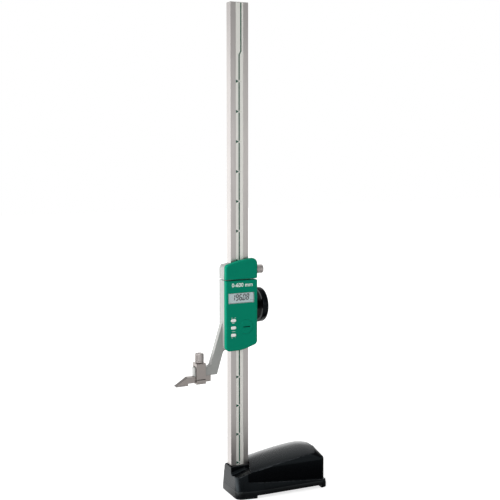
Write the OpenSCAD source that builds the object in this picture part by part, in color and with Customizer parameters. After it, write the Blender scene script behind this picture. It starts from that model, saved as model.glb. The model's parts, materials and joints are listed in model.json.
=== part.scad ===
// Digital height gauge with a rack drive, a fine adjustment and a clamped scriber.
// X runs back along the base, away from the scriber. Y runs away from the display. Z is up.
// The origin lies on the lapped underside of the base, below the axis of the column.

/* [Column] */
// Width of the scale face
col_w = 32.5; // [30:0.5:35]
// Depth from the scale face to the rack face
col_d = 16; // [15:0.5:18]
// Height of the top above the datum
col_top = 832; // [825:1:860]
// Height of the foot above the datum
col_foot = 12; // [11:0.5:14]
// Width of the scale tape
tape_w = 13; // [11:0.5:15]
// Thickness of the scale tape
tape_t = 0.5; // [0.3:0.1:0.8]

/* [Rack and pinion] */
// Gear module
gear_module = 1; // [0.9:0.05:1.1]
// Teeth on the pinion
pinion_teeth = 18; // [18:1:20]
// Width of the rack
rack_w = 8; // [6:0.5:9]
// Height of the rack strip behind its teeth
rack_back = 2.75; // [2:0.25:3.5]
// Radius of the pinion shaft
shaft_r = 3; // [2.5:0.1:3.5]
// Wall of the shaft bushes
bush_wall = 2; // [1.5:0.1:2.5]

/* [Handwheel] */
// Radius of the handwheel
wheel_r = 30.2; // [27:0.2:31]
// Width of the handwheel rim
wheel_w = 12; // [10:0.5:13]
// Distance from the column axis to the outer face of the rim
wheel_reach = 54; // [52:0.5:57]
// Radius of the handwheel hub
hub_r = 8; // [7:0.5:10]

/* [Base] */
// Length from the nose to the heel
base_len = 169.5; // [160:0.5:185]
// Wall of the nose in front of the column
nose_wall = 4; // [3.5:0.1:5]
// Half width of the sole at the nose
sole_nose_hw = 33.5; // [32:0.5:38]
// Half width of the sole behind the column
sole_waist_hw = 41.5; // [40:0.5:44]
// Half width of the sole at the heel
sole_heel_hw = 46; // [44:0.5:50]
// Thickness of the sole
sole_h = 13; // [12:0.5:15]
// Height of the relief between the feet
relief_h = 4.8; // [3:0.2:6]
// Length of the front foot
foot_front = 35; // [32:1:40]
// Length of the rear foot
foot_rear = 13; // [10:1:18]
// Ledge of the sole round the cover, at the heel
heel_ledge = 1.8; // [1.5:0.1:4]
// Draft of the cover walls, in degrees
cover_draft = 7.4; // [5:0.2:9]
// Wall of the cover
cover_wall = 2.4; // [2:0.1:2.8]
// Height of the collar round the column
collar_z = 48; // [46:0.5:50]
// Height of the shelf beside the column
shelf_z = 37; // [33:0.5:38]
// Height of the hump at its highest point
hump_z = 65.6; // [62:0.5:70]
// Height of the hump beside the column
hump_front_z = 50.3; // [49:0.5:53]
// Height of the shoulder at the heel
shoulder_z = 50.5; // [49:0.5:54]
// Distance from the heel to the top of the hump
hump_back = 28; // [25:0.5:36]

/* [Slider] */
// Height that the gauge reads at rest
reading = 196; // [120:1:300]
// Largest reading
reading_max = 600; // [500:10:610]
// Distance from the column axis to the left side
slider_left = 30.5; // [29:0.5:33]
// Distance from the column axis to the right side
slider_right = 28.2; // [27:0.1:30]
// Wall between the column and the front cover
front_wall = 4; // [3.5:0.25:5]
// Depth of the green front covers
cover_depth = 8.5; // [8:0.25:10]
// Wall of the green front covers
shell_wall = 2; // [1.6:0.1:2.2]
// Rise from the measuring face to the foot of the slider
slider_foot = 54; // [53:0.5:58]
// Rise from the measuring face to the split between slider and clamp block
split_rise = 174; // [172:0.5:180]
// Gap at the split
split_gap = 1.6; // [1.4:0.1:3]
// Height of the clamp block at its right side
block_h = 36; // [35:0.5:42]
// Rise from the measuring face to the handwheel axis
wheel_rise = 124; // [122:0.5:128]
// Thickness of the gib strip
gib_t = 2; // [1.5:0.1:2.2]

/* [Display and keys] */
// Width of the display opening
lcd_w = 47.4; // [44:0.2:49]
// Height of the display opening
lcd_h = 17.7; // [16:0.2:19]
// Rise from the measuring face to the middle of the display
lcd_rise = 144.1; // [143:0.5:147]
// Width of a key
key_w = 9.6; // [9:0.2:11.4]
// Height of a key
key_h = 5.2; // [4.6:0.1:6.6]
// Spacing of the keys
key_pitch = 12.35; // [11.5:0.05:13]
// Rise from the measuring face to the middle key
key_rise = 94.3; // [92:0.1:96]
// Travel of a key
key_travel = 0.8; // [0.5:0.1:1]
// Radius of the battery cell
cell_r = 10; // [9:0.25:10]
// Thickness of the battery cell
cell_t = 3.2; // [2:0.1:3.2]

/* [Arm and scriber] */
// Thickness of the measuring arm
arm_t = 10; // [8:0.5:11]
// Reach of the jaw from the column axis
jaw_reach = 81.8; // [81:0.2:90]
// Height of the jaw
jaw_h = 14.9; // [13:0.1:16]
// Height of the scriber shank
shank_h = 10.5; // [9:0.25:12]
// Drop from the underside of the shank to the measuring face
blade_drop = 3.8; // [3.6:0.1:6]
// Reach of the scriber tip from the column axis
tip_reach = 114.6; // [112:0.2:125]
// Length of the scriber
scriber_len = 62.5; // [58:0.5:70]
// Length of the dropped blade
blade_len = 21.7; // [20:0.1:25]
// Length of the clamp stirrup along the jaw
stirrup_l = 16.8; // [16:0.2:19]
// Distance from the column axis to the thumb screw
stirrup_reach = 70.9; // [69:0.1:73]
// Wall of the clamp stirrup at its sides
stirrup_wall = 3.6; // [3:0.1:4.5]
// Radius of the knurled clamp knobs
knob_r = 7.4; // [6.5:0.1:8]

/* [Fits] */
// Clearance between sliding faces
slide_gap = 0.15; // [0.1:0.01:0.2]
// Radial clearance of turning shafts
run_gap = 0.03; // [0.02:0.01:0.06]
// Clearance of fixed pieces in their seats
seat_gap = 0.05; // [0.03:0.01:0.1]

/* [Hidden] */
$fn = 64;

// Faces of the column
col_left = -col_w / 2;
col_right = col_w / 2;
col_front = -col_d / 2;
col_back = col_d / 2;

// Layers of the slider along Y
body_front = col_front - front_wall;
back_gap = 0.5;
body_back = col_back + back_gap;
shell_front = body_front - cover_depth;
shell_in = shell_front + shell_wall;
board_t = 1.4;
board_front = body_front - board_t;

// Heights of the slider
jaw_z = reading + blade_drop + shank_h;
foot_z = reading + slider_foot;
split_z = reading + split_rise;
block_z = split_z + split_gap;
wheel_z = reading + wheel_rise;
travel_down = reading;
travel_up = reading_max - reading;

// Gearing: the rack's crests are flush with the back of the column
pinion_r = gear_module * pinion_teeth / 2;
pinion_tip_r = pinion_r + gear_module;
pitch_y = col_back - gear_module;
dedendum = 1.25 * gear_module;
rack_root_y = pitch_y - dedendum;
rack_seat_y = rack_root_y - rack_back;
axis_y = pitch_y + pinion_r;
tooth_pitch = PI * gear_module;
backlash = 0.12;
bush_r = shaft_r + bush_wall;

// Base lines
base_mid = col_front;
nose_x = col_left - nose_wall;
heel_x = nose_x + base_len;
cover_heel_x = heel_x - heel_ledge;
hump_x = 6;
hump_peak = heel_x - hump_back;
crown_r = 115;

// Overrun of cuts, reach of open cuts, and the slices that hulls run between
over = 1;
far_out = 200;
far_up = 1000;
thin = 0.01;
hexagon = 6;

// Rounds an outline's corners: each corner is [x, y, radius]
function unit(v) = v / norm(v);
function flat(p) = [p[0], p[1]];
function turn(a, b) = let (d = b - a) d > 180 ? d - 360 : d < -180 ? d + 360 : d;
function corner(p, q, s, n) =
  let (a = unit(flat(p) - flat(q)), b = unit(flat(s) - flat(q)), half = acos(a * b) / 2, r = q[2],
       mid = flat(q) + unit(a + b) * r / sin(half), from = flat(q) + a * r / tan(half) - mid,
       to = flat(q) + b * r / tan(half) - mid, start = atan2(from[1], from[0]),
       sweep = turn(start, atan2(to[1], to[0])))
  r == 0 ? [flat(q)] : [for (i = [0:n]) mid + r * [cos(start + sweep * i / n), sin(start + sweep * i / n)]];
function rounded(k, n = 6) =
  [for (i = [0:len(k) - 1]) each corner(k[(i + len(k) - 1) % len(k)], k[i], k[(i + 1) % len(k)], n)];

// Solids between two coordinates along one axis
module box(low, high) { translate(low) cube(high - low); }
module along_x(x0, x1) { translate([x0, 0, 0]) rotate([90, 0, 90]) linear_extrude(x1 - x0) children(); }
module along_y(y0, y1) { translate([0, y1, 0]) rotate([90, 0, 0]) linear_extrude(y1 - y0) children(); }
module along_z(z0, z1) { translate([0, 0, z0]) linear_extrude(z1 - z0) children(); }
module rod_x(x0, x1, r, y, z) { translate([x0, y, z]) rotate([0, 90, 0]) cylinder(h = x1 - x0, r = r); }
module rod_y(y0, y1, r, x, z) { translate([x, y1, z]) rotate([90, 0, 0]) cylinder(h = y1 - y0, r = r); }
module rod_z(z0, z1, r, x, y) { translate([x, y, z0]) cylinder(h = z1 - z0, r = r); }
// Round-ended outline; its ends keep a short flat
pill_share = 0.495;
module pill(w, h) {
  r = h * pill_share;
  polygon(rounded([[-w / 2, -h / 2, r], [w / 2, -h / 2, r], [w / 2, h / 2, r], [-w / 2, h / 2, r]]));
}
// Turned solid about a line along X: each corner is [radius, x, corner radius]
turn_steps = 4;
module turned_x(profile, y, z) {
  translate([0, y, z]) rotate([0, 90, 0]) rotate_extrude() polygon(rounded(profile, turn_steps));
}
// Turned solid about an upright line
module turned_z(profile, x, y) {
  translate([x, y, 0]) rotate_extrude() polygon(rounded(profile, turn_steps));
}
// Socket screw along Y, with its head at the back
head_h = 2.6;
screw_r = 1.5;
head_r = 2.7;
socket_d = 1.4;
module screw_y(seat_y, tip_y, x, z) {
  difference() {
    union() {
      rod_y(tip_y, seat_y, screw_r, x, z);
      rod_y(seat_y, seat_y + head_h, head_r, x, z);
    }
    translate([x, seat_y + head_h + over, z]) rotate([90, 0, 0])
      cylinder(h = socket_d + over, r = screw_r, $fn = hexagon);
  }
}
// Socket screw along Z, with its head below
module screw_z(seat_z, tip_z, r, head, x, y) {
  difference() {
    union() {
      rod_z(seat_z, tip_z, r, x, y);
      rod_z(seat_z - 2 * r, seat_z, head, x, y);
    }
    translate([x, y, seat_z - 2 * r - over]) cylinder(h = r + over, r = r, $fn = hexagon);
  }
}

// Plan of the base as corners about its middle plane
waist_run = 40.3;
waist_x = nose_x + waist_run;
waist_r = 120;
nose_r = 12;
heel_r = 10;
cover_heel_r = 7;
plan_steps = 8;
function plan(nose, heel, nose_hw, waist_hw, heel_hw, nose_round, heel_round) = [
  [nose, base_mid - nose_hw, nose_round], [waist_x, base_mid - waist_hw, waist_r],
  [heel, base_mid - heel_hw, heel_round], [heel, base_mid + heel_hw, heel_round],
  [waist_x, base_mid + waist_hw, waist_r], [nose, base_mid + nose_hw, nose_round]
];
nose_ledge = 0.3;
waist_ledge = 0.6 * heel_ledge;
cover_nose_hw = sole_nose_hw - 2 * nose_ledge;
cover_waist_hw = sole_waist_hw - waist_ledge;
cover_heel_hw = sole_heel_hw - heel_ledge;
cover_spare = 4;
cover_top = hump_z + cover_spare;
// Plan of the cover at a height, set in by a wall; its ends lean less than its sides
nose_lean = 0.14;
heel_lean = 0.2;
function lean(z) = (z - sole_h) * tan(cover_draft);
function cover_plan(z, in) = plan(
  nose_x + nose_ledge + in + nose_lean * lean(z), cover_heel_x - in - heel_lean * lean(z),
  cover_nose_hw - in - lean(z), cover_waist_hw - in - lean(z), cover_heel_hw - in - lean(z),
  nose_r - in, cover_heel_r - in);
module cover_walls(in) {
  low = in > 0 ? over : 0;
  hull() {
    along_z(sole_h - low, sole_h + thin) polygon(rounded(cover_plan(sole_h, in), plan_steps));
    along_z(cover_top, cover_top + thin) polygon(rounded(cover_plan(cover_top, in), plan_steps));
  }
}
// Sloping shoulder that turns the heel into a round tongue on the top
tongue_hw = 33;
tongue_back = 10.2;
tongue_rise = 1;
tongue_nose = 2;
tongue_steps = 48;
tongue_x = cover_heel_x - tongue_back;
tongue_z = hump_z + tongue_rise;
shoulder_out = 0.3;
module cover_shoulder(in) {
  tongue = tongue_hw - in;
  hull() {
    along_z(0, shoulder_z - in) polygon(rounded(cover_plan(shoulder_z, in - shoulder_out), plan_steps));
    for (x = [nose_x + tongue + tongue_nose, tongue_x - in - tongue])
      translate([x, base_mid, tongue_z - in]) cylinder(h = thin, r = tongue, $fn = tongue_steps);
  }
}
// Crowned top: the side profile of the hump, turned about a low line along X
hump_power = 1.44;
hump_tail = 0.0043;
crown_z = hump_z - crown_r;
function hump_at(x) = x < hump_peak ?
  hump_z - (hump_z - hump_front_z) * pow((hump_peak - x) / (hump_peak - hump_x), hump_power) :
  hump_z - hump_tail * pow(x - hump_peak, 2);
hump_lead = 3;
hump_start = hump_x - hump_lead;
crown_steps = 96;
hump_steps = 24;
module cover_crown(in) {
  step = (heel_x - hump_start) / hump_steps;
  edge = [for (i = [0:hump_steps]) let (x = hump_start + i * step) [hump_at(x) - in - crown_z, x]];
  translate([0, base_mid, crown_z]) rotate([0, 90, 0]) rotate_extrude($fn = crown_steps)
    polygon(concat([[over, hump_start]], edge, [[over, heel_x]]));
}
// Front of the hump in plan: it sweeps from the shelf round to the side of the column
collar_gap = 0.3;
sweep_hw = 33;
sweep_end = 4;
sweep_run = col_right + collar_gap - hump_x;
sweep_power = 1.6;
sweep_steps = 6;
module hump_front(in) {
  sweep = [for (i = [0:sweep_steps]) let (t = i / sweep_steps)
    [hump_x + in + sweep_run * pow(t, sweep_power), base_mid - sweep_hw + (sweep_hw - sweep_end) * t]];
  polygon(concat(
    [[far_out, -far_out], [hump_x + in, -far_out]], sweep,
    [[col_right + collar_gap + in, far_out], [far_out, far_out]]));
}
// Section of the nose across X: shelf, collar round the column, rounded far side
collar_near_wall = 6;
collar_far_wall = 5.6;
collar_near = col_front - collar_near_wall;
collar_far = col_back + collar_far_wall;
far_drop = 3.5;
far_shelf_z = shelf_z - far_drop;
far_fillet = 4;
collar_r = 5;
collar_edge = 1;
gutter_drop = 3.5;
gutter_run = 14;
gutter_fillet = 5;
gutter_z = shelf_z - gutter_drop;
lip_r = 6;
collar_run = 10;
module nose_section(in) {
  top = collar_z - in;
  polygon(rounded([
    [-far_out, -over, 0], [far_out, -over, 0], [far_out, far_shelf_z - in, 0],
    [collar_far - in, far_shelf_z - in, far_fillet], [collar_far - in, top, collar_r - in],
    [collar_near + in, top, collar_edge], [collar_near + in, gutter_z - in, gutter_fillet],
    [collar_near - gutter_run, shelf_z - in, lip_r], [-far_out, shelf_z - in, 0]
  ]));
}
// Shelf with a gutter along the collar: it climbs from the nose to the front of the hump
climb_run = 21;
climb = 6;
climb_x = hump_x - climb_run;
climb_slope = climb / climb_run;
shelf_lap = 2;
shelf_wall = 8;
module shelf_section(in) {
  edge_y = collar_near + in;
  polygon(rounded([
    [-far_out, -over, 0], [edge_y + shelf_lap, -over, 0], [edge_y + shelf_lap, gutter_z + shelf_wall - in, 0],
    [edge_y, gutter_z + shelf_wall - in, 0], [edge_y, gutter_z - in, gutter_fillet],
    [collar_near - gutter_run, shelf_z - in, lip_r], [-far_out, shelf_z - in, 0]
  ]));
}
module nose_shelf(in) {
  multmatrix([[1, 0, 0, 0], [0, 1, 0, 0], [climb_slope, 0, 1, -climb_slope * climb_x], [0, 0, 0, 1]])
    along_x(climb_x, hump_x) shelf_section(in);
  translate([0, 0, climb]) along_x(hump_x - over, col_right + collar_run) shelf_section(in);
}
// Plan of the nose: full width up to its end, then as narrow as the hump
nose_over = 6;
nose_end = hump_x - nose_over;
module nose_plan(in) {
  box([-far_out, -far_out, -over], [nose_end - in, far_out, far_up]);
  along_z(-over, far_up) polygon(rounded(cover_plan(shoulder_z, in - shoulder_out), plan_steps));
}
module cover_shape(in) {
  intersection() {
    cover_walls(in);
    nose_plan(in);
    union() {
      along_x(nose_x - over, col_right + collar_run) nose_section(in);
      nose_shelf(in);
    }
  }
  intersection() {
    cover_walls(in);
    cover_shoulder(in);
    cover_crown(in);
    along_z(0, far_out) hump_front(in);
  }
}
boss_r = 5;
boss_front = 10;
boss_back = 30;
boss_hw = 28;
boss_tip = 11;
boss_seat = 5;
boss_x = [waist_x + boss_front, heel_x - boss_back];
boss_y = [base_mid - boss_hw, base_mid + boss_hw];
base_screw_r = 2;
boss_tip_z = sole_h + boss_tip;
boss_seat_z = sole_h - boss_seat;

// Flared skirt: it leaves the side walls higher beside the column than at the heel
skirt_waist = 13;
skirt_heel = 1.5;
skirt_nose = 3;
skirt_nose_rise = 4;
skirt_waist_z = sole_h + skirt_waist;
skirt_heel_z = sole_h + skirt_heel;
skirt_tilt = atan((skirt_waist_z - skirt_heel_z) / (cover_heel_x - heel_r - waist_x));
skirt_foot = plan(nose_x + nose_ledge, cover_heel_x, cover_nose_hw, cover_waist_hw + waist_ledge / 2,
  cover_heel_hw + heel_ledge / 2, nose_r, cover_heel_r);
skirt_rim = plan(nose_x + skirt_nose, cover_heel_x - over,
  cover_nose_hw - lean(skirt_waist_z + skirt_nose_rise), cover_waist_hw - lean(skirt_waist_z),
  cover_heel_hw - lean(skirt_heel_z), nose_r, cover_heel_r);
module cover_skirt() {
  hull() {
    along_z(sole_h, sole_h + thin) polygon(rounded(skirt_foot, plan_steps));
    translate([waist_x, 0, skirt_waist_z]) rotate([0, skirt_tilt, 0]) translate([-waist_x, 0, 0])
      along_z(0, thin) polygon(rounded(skirt_rim, plan_steps));
  }
}

module base_cover() {
  color([0.05, 0.05, 0.055]) difference() {
    union() {
      cover_shape(0);
      cover_skirt();
    }
    difference() {
      cover_shape(cover_wall);
      for (x = boss_x, y = boss_y) rod_z(0, far_out, boss_r, x, y);
    }
    box([col_left - collar_gap, col_front - collar_gap, 0],
      [col_right + collar_gap, col_back + collar_gap, far_out]);
    for (x = boss_x, y = boss_y) rod_z(0, boss_tip_z + over, base_screw_r + seat_gap, x, y);
  }
}

// Casting: sole with two feet, a socket that takes the column, and a weight under the hump
socket_drop = 12;
socket_z = collar_z - socket_drop;
socket_wall = 2.8;
socket_back = 9;
socket_x = col_right + socket_back;
weight_hw = 21;
weight_rise = 4;
weight_back = 22;
weight_z = socket_z + weight_rise;
bead_z = 6.5;
bead_top = 2.2;
bead_in = 0.3 * heel_ledge;
foot_screw_r = 3;
foot_head_r = 5;
foot_screw_x = [-8, 8];
foot_screw_up = 15;
foot_hole_up = 17;
foot_seat_z = 6.4;
sole_plan = plan(nose_x, heel_x, sole_nose_hw, sole_waist_hw, sole_heel_hw, nose_r, heel_r);
bead_plan = plan(nose_x + nose_ledge / 3, heel_x - bead_in, sole_nose_hw - nose_ledge,
  sole_waist_hw - bead_in, sole_heel_hw - bead_in, nose_r, heel_r);
module base_casting() {
  color([0.08, 0.08, 0.085]) difference() {
    union() {
      hull() {
        along_z(0, bead_z) polygon(rounded(sole_plan, plan_steps));
        along_z(sole_h - bead_top, sole_h - bead_top + thin) polygon(rounded(bead_plan, plan_steps));
        along_z(sole_h - thin, sole_h) polygon(rounded(cover_plan(sole_h, 0), plan_steps));
      }
      box([col_left, col_front - socket_wall, relief_h], [socket_x, col_back + socket_wall, socket_z]);
      box([socket_x - over, base_mid - weight_hw, relief_h],
        [heel_x - weight_back, base_mid + weight_hw, weight_z]);
    }
    box([nose_x + foot_front, -far_out, -over], [heel_x - foot_rear, far_out, relief_h]);
    box([col_left - over, col_front - seat_gap, col_foot],
      [col_right + seat_gap, col_back + seat_gap, far_out]);
    for (x = foot_screw_x) {
      rod_z(-over, foot_seat_z, foot_head_r + seat_gap, x, 0);
      rod_z(0, col_foot + over, foot_screw_r + seat_gap, x, 0);
    }
    for (x = boss_x, y = boss_y) {
      rod_z(0, boss_seat_z, 2 * base_screw_r + seat_gap, x, y);
      rod_z(0, sole_h + over, base_screw_r + seat_gap, x, y);
    }
  }
}
module base_cover_screws() {
  color([0.5, 0.5, 0.52]) for (x = boss_x, y = boss_y)
    screw_z(boss_seat_z, boss_tip_z, base_screw_r, 2 * base_screw_r, x, y);
}
module column_screws() {
  color([0.35, 0.35, 0.37]) for (x = foot_screw_x)
    screw_z(foot_seat_z, col_foot + foot_screw_up, foot_screw_r, foot_head_r, x, 0);
}

// Column with a shallow groove for the tape and a deep one for the rack
spare_teeth = 3;
teeth_down = ceil(travel_down / tooth_pitch) + spare_teeth;
teeth_up = ceil(travel_up / tooth_pitch) + spare_teeth;
rack_low = wheel_z - (teeth_down + 0.5) * tooth_pitch;
rack_high = wheel_z + (teeth_up + 0.5) * tooth_pitch;
tape_foot = 0.5;
tape_head = 1;
tape_low = collar_z + tape_foot;
tape_high = col_top - tape_head;
tape_sink = 0.1;
module column() {
  color([0.72, 0.71, 0.7]) difference() {
    box([col_left, col_front, col_foot], [col_right, col_back, col_top]);
    box([-tape_w / 2 - seat_gap, col_front - over, tape_low - seat_gap],
      [tape_w / 2 + seat_gap, col_front + tape_t + tape_sink, tape_high + seat_gap]);
    box([-rack_w / 2 - seat_gap, rack_seat_y, rack_low - seat_gap],
      [rack_w / 2 + seat_gap, col_back + over, rack_high + seat_gap]);
    for (x = foot_screw_x) rod_z(0, col_foot + foot_hole_up, foot_screw_r + seat_gap, x, 0);
  }
}
module scale_tape() {
  color([0.8, 0.79, 0.76])
    box([-tape_w / 2, col_front + tape_sink, tape_low],
      [tape_w / 2, col_front + tape_sink + tape_t, tape_high]);
}

// Rack teeth with straight flanks; one tooth stands level with the pinion's axis
pressure = 20;
rack_half = tooth_pitch / 4 - backlash / 2;
rack_tip_half = rack_half - gear_module * tan(pressure);
rack_root_half = rack_half + dedendum * tan(pressure);
module drive_rack() {
  teeth = [for (i = [-teeth_down:teeth_up]) let (z = wheel_z + i * tooth_pitch) each [
    [rack_root_y, z - rack_root_half], [col_back, z - rack_tip_half],
    [col_back, z + rack_tip_half], [rack_root_y, z + rack_root_half]
  ]];
  ends = [
    [rack_root_y, rack_high], [rack_seat_y, rack_high], [rack_seat_y, rack_low], [rack_root_y, rack_low]
  ];
  color([0.6, 0.58, 0.55]) along_x(-rack_w / 2, rack_w / 2) polygon(concat(teeth, ends));
}

// Involute pinion; a space between two teeth faces the rack
base_circle = pinion_r * cos(pressure);
pinion_root_r = pinion_r - dedendum;
flank_steps = 5;
function involute(r) = let (a = acos(min(1, base_circle / r))) tan(a) * 180 / PI - a;
tooth_half = (tooth_pitch / 4 - backlash / 2) / pinion_r * 180 / PI;
function flank_half(r) = tooth_half + involute(pinion_r) - involute(max(r, base_circle));
function polar(r, a) = [r * cos(a), r * sin(a)];
flank_radii = concat([pinion_root_r],
  [for (i = [0:flank_steps]) base_circle + (pinion_tip_r - base_circle) * i / flank_steps]);
pinion_w = rack_w - 1;
module pinion() {
  step = 360 / pinion_teeth;
  outline = [for (i = [0:pinion_teeth - 1]) let (mid = 180 + (i + 0.5) * step) each concat(
    [for (j = [0:len(flank_radii) - 1]) polar(flank_radii[j], mid - flank_half(flank_radii[j]))],
    [for (j = [len(flank_radii) - 1:-1:0]) polar(flank_radii[j], mid + flank_half(flank_radii[j]))]
  )];
  color([0.75, 0.62, 0.3]) difference() {
    translate([0, axis_y, wheel_z]) along_x(-pinion_w / 2, pinion_w / 2) polygon(outline);
    rod_x(-rack_w, rack_w, shaft_fit, axis_y, wheel_z);
  }
}

// Outlines of the slider and of the clamp block in the XZ plane, set in by a wall
corner_r = 8;
edge_round = 3;
edge_soft = 0.7;
edge_lip = 0.6;
block_drop = 2.5;
foot_tilt = 9;
split_r = 2.5;
knee_r = 60;
knee_rise = 0.5;
split_edge = 1;
module slider_outline(in, lip) {
  polygon(rounded([
    [-slider_left + in, foot_z + in, corner_r - in], [0, foot_z + knee_rise + in, knee_r],
    [slider_right - in, foot_z + foot_tilt + in, corner_r - in], [slider_right - in, split_z - lip, split_r],
    [-slider_left + in, split_z - lip, split_edge]
  ]));
}
block_knee = 4;
block_fall = 11.4;
block_r = 80;
block_corner = 1;
module block_outline(in, lip, drop) {
  top = block_z + block_h - in - drop;
  polygon(rounded([
    [-slider_left + in, block_z + lip, split_edge], [slider_right - in, block_z + lip, split_r],
    [slider_right - in, top, corner_r + block_corner - in], [-block_knee, top - block_knee, block_r],
    [-slider_left + in, top - block_fall, corner_r - block_corner - in]
  ]));
}

// Fixing points in the side walls of the slider and the block
wall_left = (col_left - slider_left) / 2;
wall_right = (col_right + gib_t + slider_right) / 2;
cover_screw_low = [14, 22];
cover_screw_high = 9;
cover_screw_at = [
  [wall_left, foot_z + cover_screw_low[0]], [wall_right, foot_z + cover_screw_low[1]],
  [wall_left, split_z - cover_screw_high], [wall_right, split_z - cover_screw_high]
];
block_screw_up = [12.3, 24.5];
block_screw_at = [[wall_left, block_z + block_screw_up[0]], [wall_right, block_z + block_screw_up[1]]];
head_sink = 0.4;
sink = head_h + head_sink;
housing_h = 24;
housing_screw_up = 17.5;
housing_screw_at = [for (x = [wall_left, wall_right], s = [-1, 1]) [x, wheel_z + s * housing_screw_up]];
bracket_screw_up = [4.5, 20, 5];
bracket_screw_at = [
  [wall_left, block_z + bracket_screw_up[0]], [wall_left, block_z + bracket_screw_up[1]],
  [wall_right, block_z + bracket_screw_up[2]]
];
plate_t = 3;
plate_back = body_back + plate_t;
grip = 6;
bracket_grip = 4.5;
hole_spare = 0.1;

// Gib strip in the right wall, with two set screws
gib_up = 20;
gib_down = 6;
gib_low = foot_z + gib_up;
gib_high = split_z - gib_down;
gib_hw = 5.5;
gib_back = col_right + slide_gap + gib_t;
gib_screw_r = 2;
gib_screw_in = [12, 8];
gib_screw_z = [gib_low + gib_screw_in[0], gib_high - gib_screw_in[1]];
gib_screw_sink = 0.5;
gib_socket = 2;

// Reading head in a window of the front wall
head_hw = 8;
head_rise = 100;
head_l = 32;
head_low = reading + head_rise;
head_high = head_low + head_l;

// Measuring arm, with a fillet where it leaves the foot of the slider
arm_rise = 103;
arm_root = reading + arm_rise;
elbow_x = 53.2;
elbow_r = 5;
jaw_heel_x = 40.7;
jaw_heel_r = 2;
jaw_edge = 1;
jaw_top = jaw_z + jaw_h;
arm_foot_in = 1.9;
arm_fillet = 6;
arm_land = [8.6, 0.4];
arm_lap = 6;
module arm_outline() {
  foot_x = -slider_left + arm_foot_in;
  polygon(rounded([
    [wall_left, arm_root, 0], [-slider_left, arm_root, 0], [-elbow_x, jaw_top, elbow_r],
    [-jaw_reach, jaw_top, jaw_edge], [-jaw_reach, jaw_z, jaw_edge], [-jaw_heel_x, jaw_z, jaw_heel_r],
    [foot_x, foot_z, arm_fillet], [foot_x + arm_land[0], foot_z + arm_land[1], 0],
    [wall_left, foot_z + arm_lap, 0]
  ]));
}
module slider_body() {
  color([0.84, 0.84, 0.82]) difference() {
    union() {
      along_y(body_front, body_back) slider_outline(0, 0);
      along_y(-arm_t / 2, arm_t / 2) arm_outline();
    }
    box([col_left - slide_gap, col_front - slide_gap, 0], [col_right + slide_gap, far_out, far_up]);
    box([-head_hw - seat_gap, body_front - over, head_low - seat_gap],
      [head_hw + seat_gap, 0, head_high + seat_gap]);
    box([col_right, -gib_hw - seat_gap, gib_low - seat_gap],
      [gib_back + seat_gap, gib_hw + seat_gap, gib_high + seat_gap]);
    for (z = gib_screw_z) rod_x(col_right, slider_right + over, gib_screw_r + seat_gap, 0, z);
    for (p = cover_screw_at) {
      rod_y(body_front - over, body_back + over, screw_r + seat_gap, p[0], p[1]);
      rod_y(body_back - sink, body_back + over, head_r + seat_gap, p[0], p[1]);
    }
    for (p = housing_screw_at)
      rod_y(body_back - grip - over, body_back + over, screw_r + seat_gap, p[0], p[1]);
  }
}
module slider_gib() {
  color([0.75, 0.62, 0.3]) box([col_right + slide_gap, -gib_hw, gib_low], [gib_back, gib_hw, gib_high]);
}
module gib_screws() {
  color([0.35, 0.35, 0.37]) for (z = gib_screw_z) difference() {
    rod_x(gib_back, slider_right - gib_screw_sink, gib_screw_r, 0, z);
    translate([slider_right - gib_screw_sink - gib_socket, 0, z]) rotate([0, 90, 0])
      cylinder(h = gib_socket + over, r = gib_screw_r / 2, $fn = hexagon);
  }
}

// Front cover with its display opening, key holes and battery well
slider_mid = (slider_right - slider_left) / 2;
lcd_off = 1.1;
key_off = 15.85;
cap_off = 8.25;
lcd_x = slider_mid - lcd_off;
key_x = slider_mid - key_off;
cap_x = slider_mid + cap_off;
keys_z = reading + key_rise;
cap_rim = 2.2;
well_rim = 1.5;
cell_gap = 0.4;
cap_r = cell_r + cap_rim;
cap_stand = 0.8;
cap_bevel = 1;
cap_seat = shell_in;
well_r = cap_r + well_rim;
well_in = cell_r + cell_gap;
lcd_z = reading + lcd_rise;
lens_rim = 1.5;
lens_sink = 0.8;
post_r = 3;
post_in = 0.6;
post_spare = 0.4;
post_tip = shell_in + post_in;
lens_gap = 0.1;
lens_w = lcd_w + 2 * lens_rim;
lens_h = lcd_h + 2 * lens_rim;
round_depth = 2.6;
soft_depth = 0.8;
module centred(x, z, w, h) { translate([x - w / 2, z - h / 2]) square([w, h]); }
module shell_layers() {
  hull() {
    along_y(shell_front + round_depth, body_front) children(0);
    along_y(shell_front + soft_depth, shell_front + soft_depth + thin) children(1);
    along_y(shell_front, shell_front + thin) children(2);
  }
}
module front_cover() {
  color([0.03, 0.42, 0.33]) difference() {
    shell_layers() {
      slider_outline(0, 0);
      slider_outline(edge_soft, edge_lip / 2);
      slider_outline(edge_round, edge_lip);
    }
    difference() {
      along_y(shell_in, body_front + over) slider_outline(shell_wall, shell_wall);
      for (p = cover_screw_at) rod_y(shell_front, body_front, post_r, p[0], p[1]);
      rod_y(shell_front, board_front, well_r, cap_x, keys_z);
    }
    rod_y(shell_front - over, cap_seat, cap_r + slide_gap, cap_x, keys_z);
    rod_y(shell_front - over, body_front, well_in, cap_x, keys_z);
    along_y(shell_front - over, body_front) centred(lcd_x, lcd_z, lcd_w, lcd_h);
    along_y(shell_front + lens_sink, body_front) centred(lcd_x, lcd_z, lens_w, lens_h);
    for (i = [-1:1]) translate([key_x, 0, keys_z + i * key_pitch])
      along_y(shell_front - over, body_front) pill(key_w + 2 * slide_gap, key_h + 2 * slide_gap);
    for (p = cover_screw_at) rod_y(post_tip - post_spare, body_front + over, screw_r + seat_gap, p[0], p[1]);
  }
}
module front_cover_screws() {
  color([0.5, 0.5, 0.52]) for (p = cover_screw_at) screw_y(body_back - sink, post_tip, p[0], p[1]);
}
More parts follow.
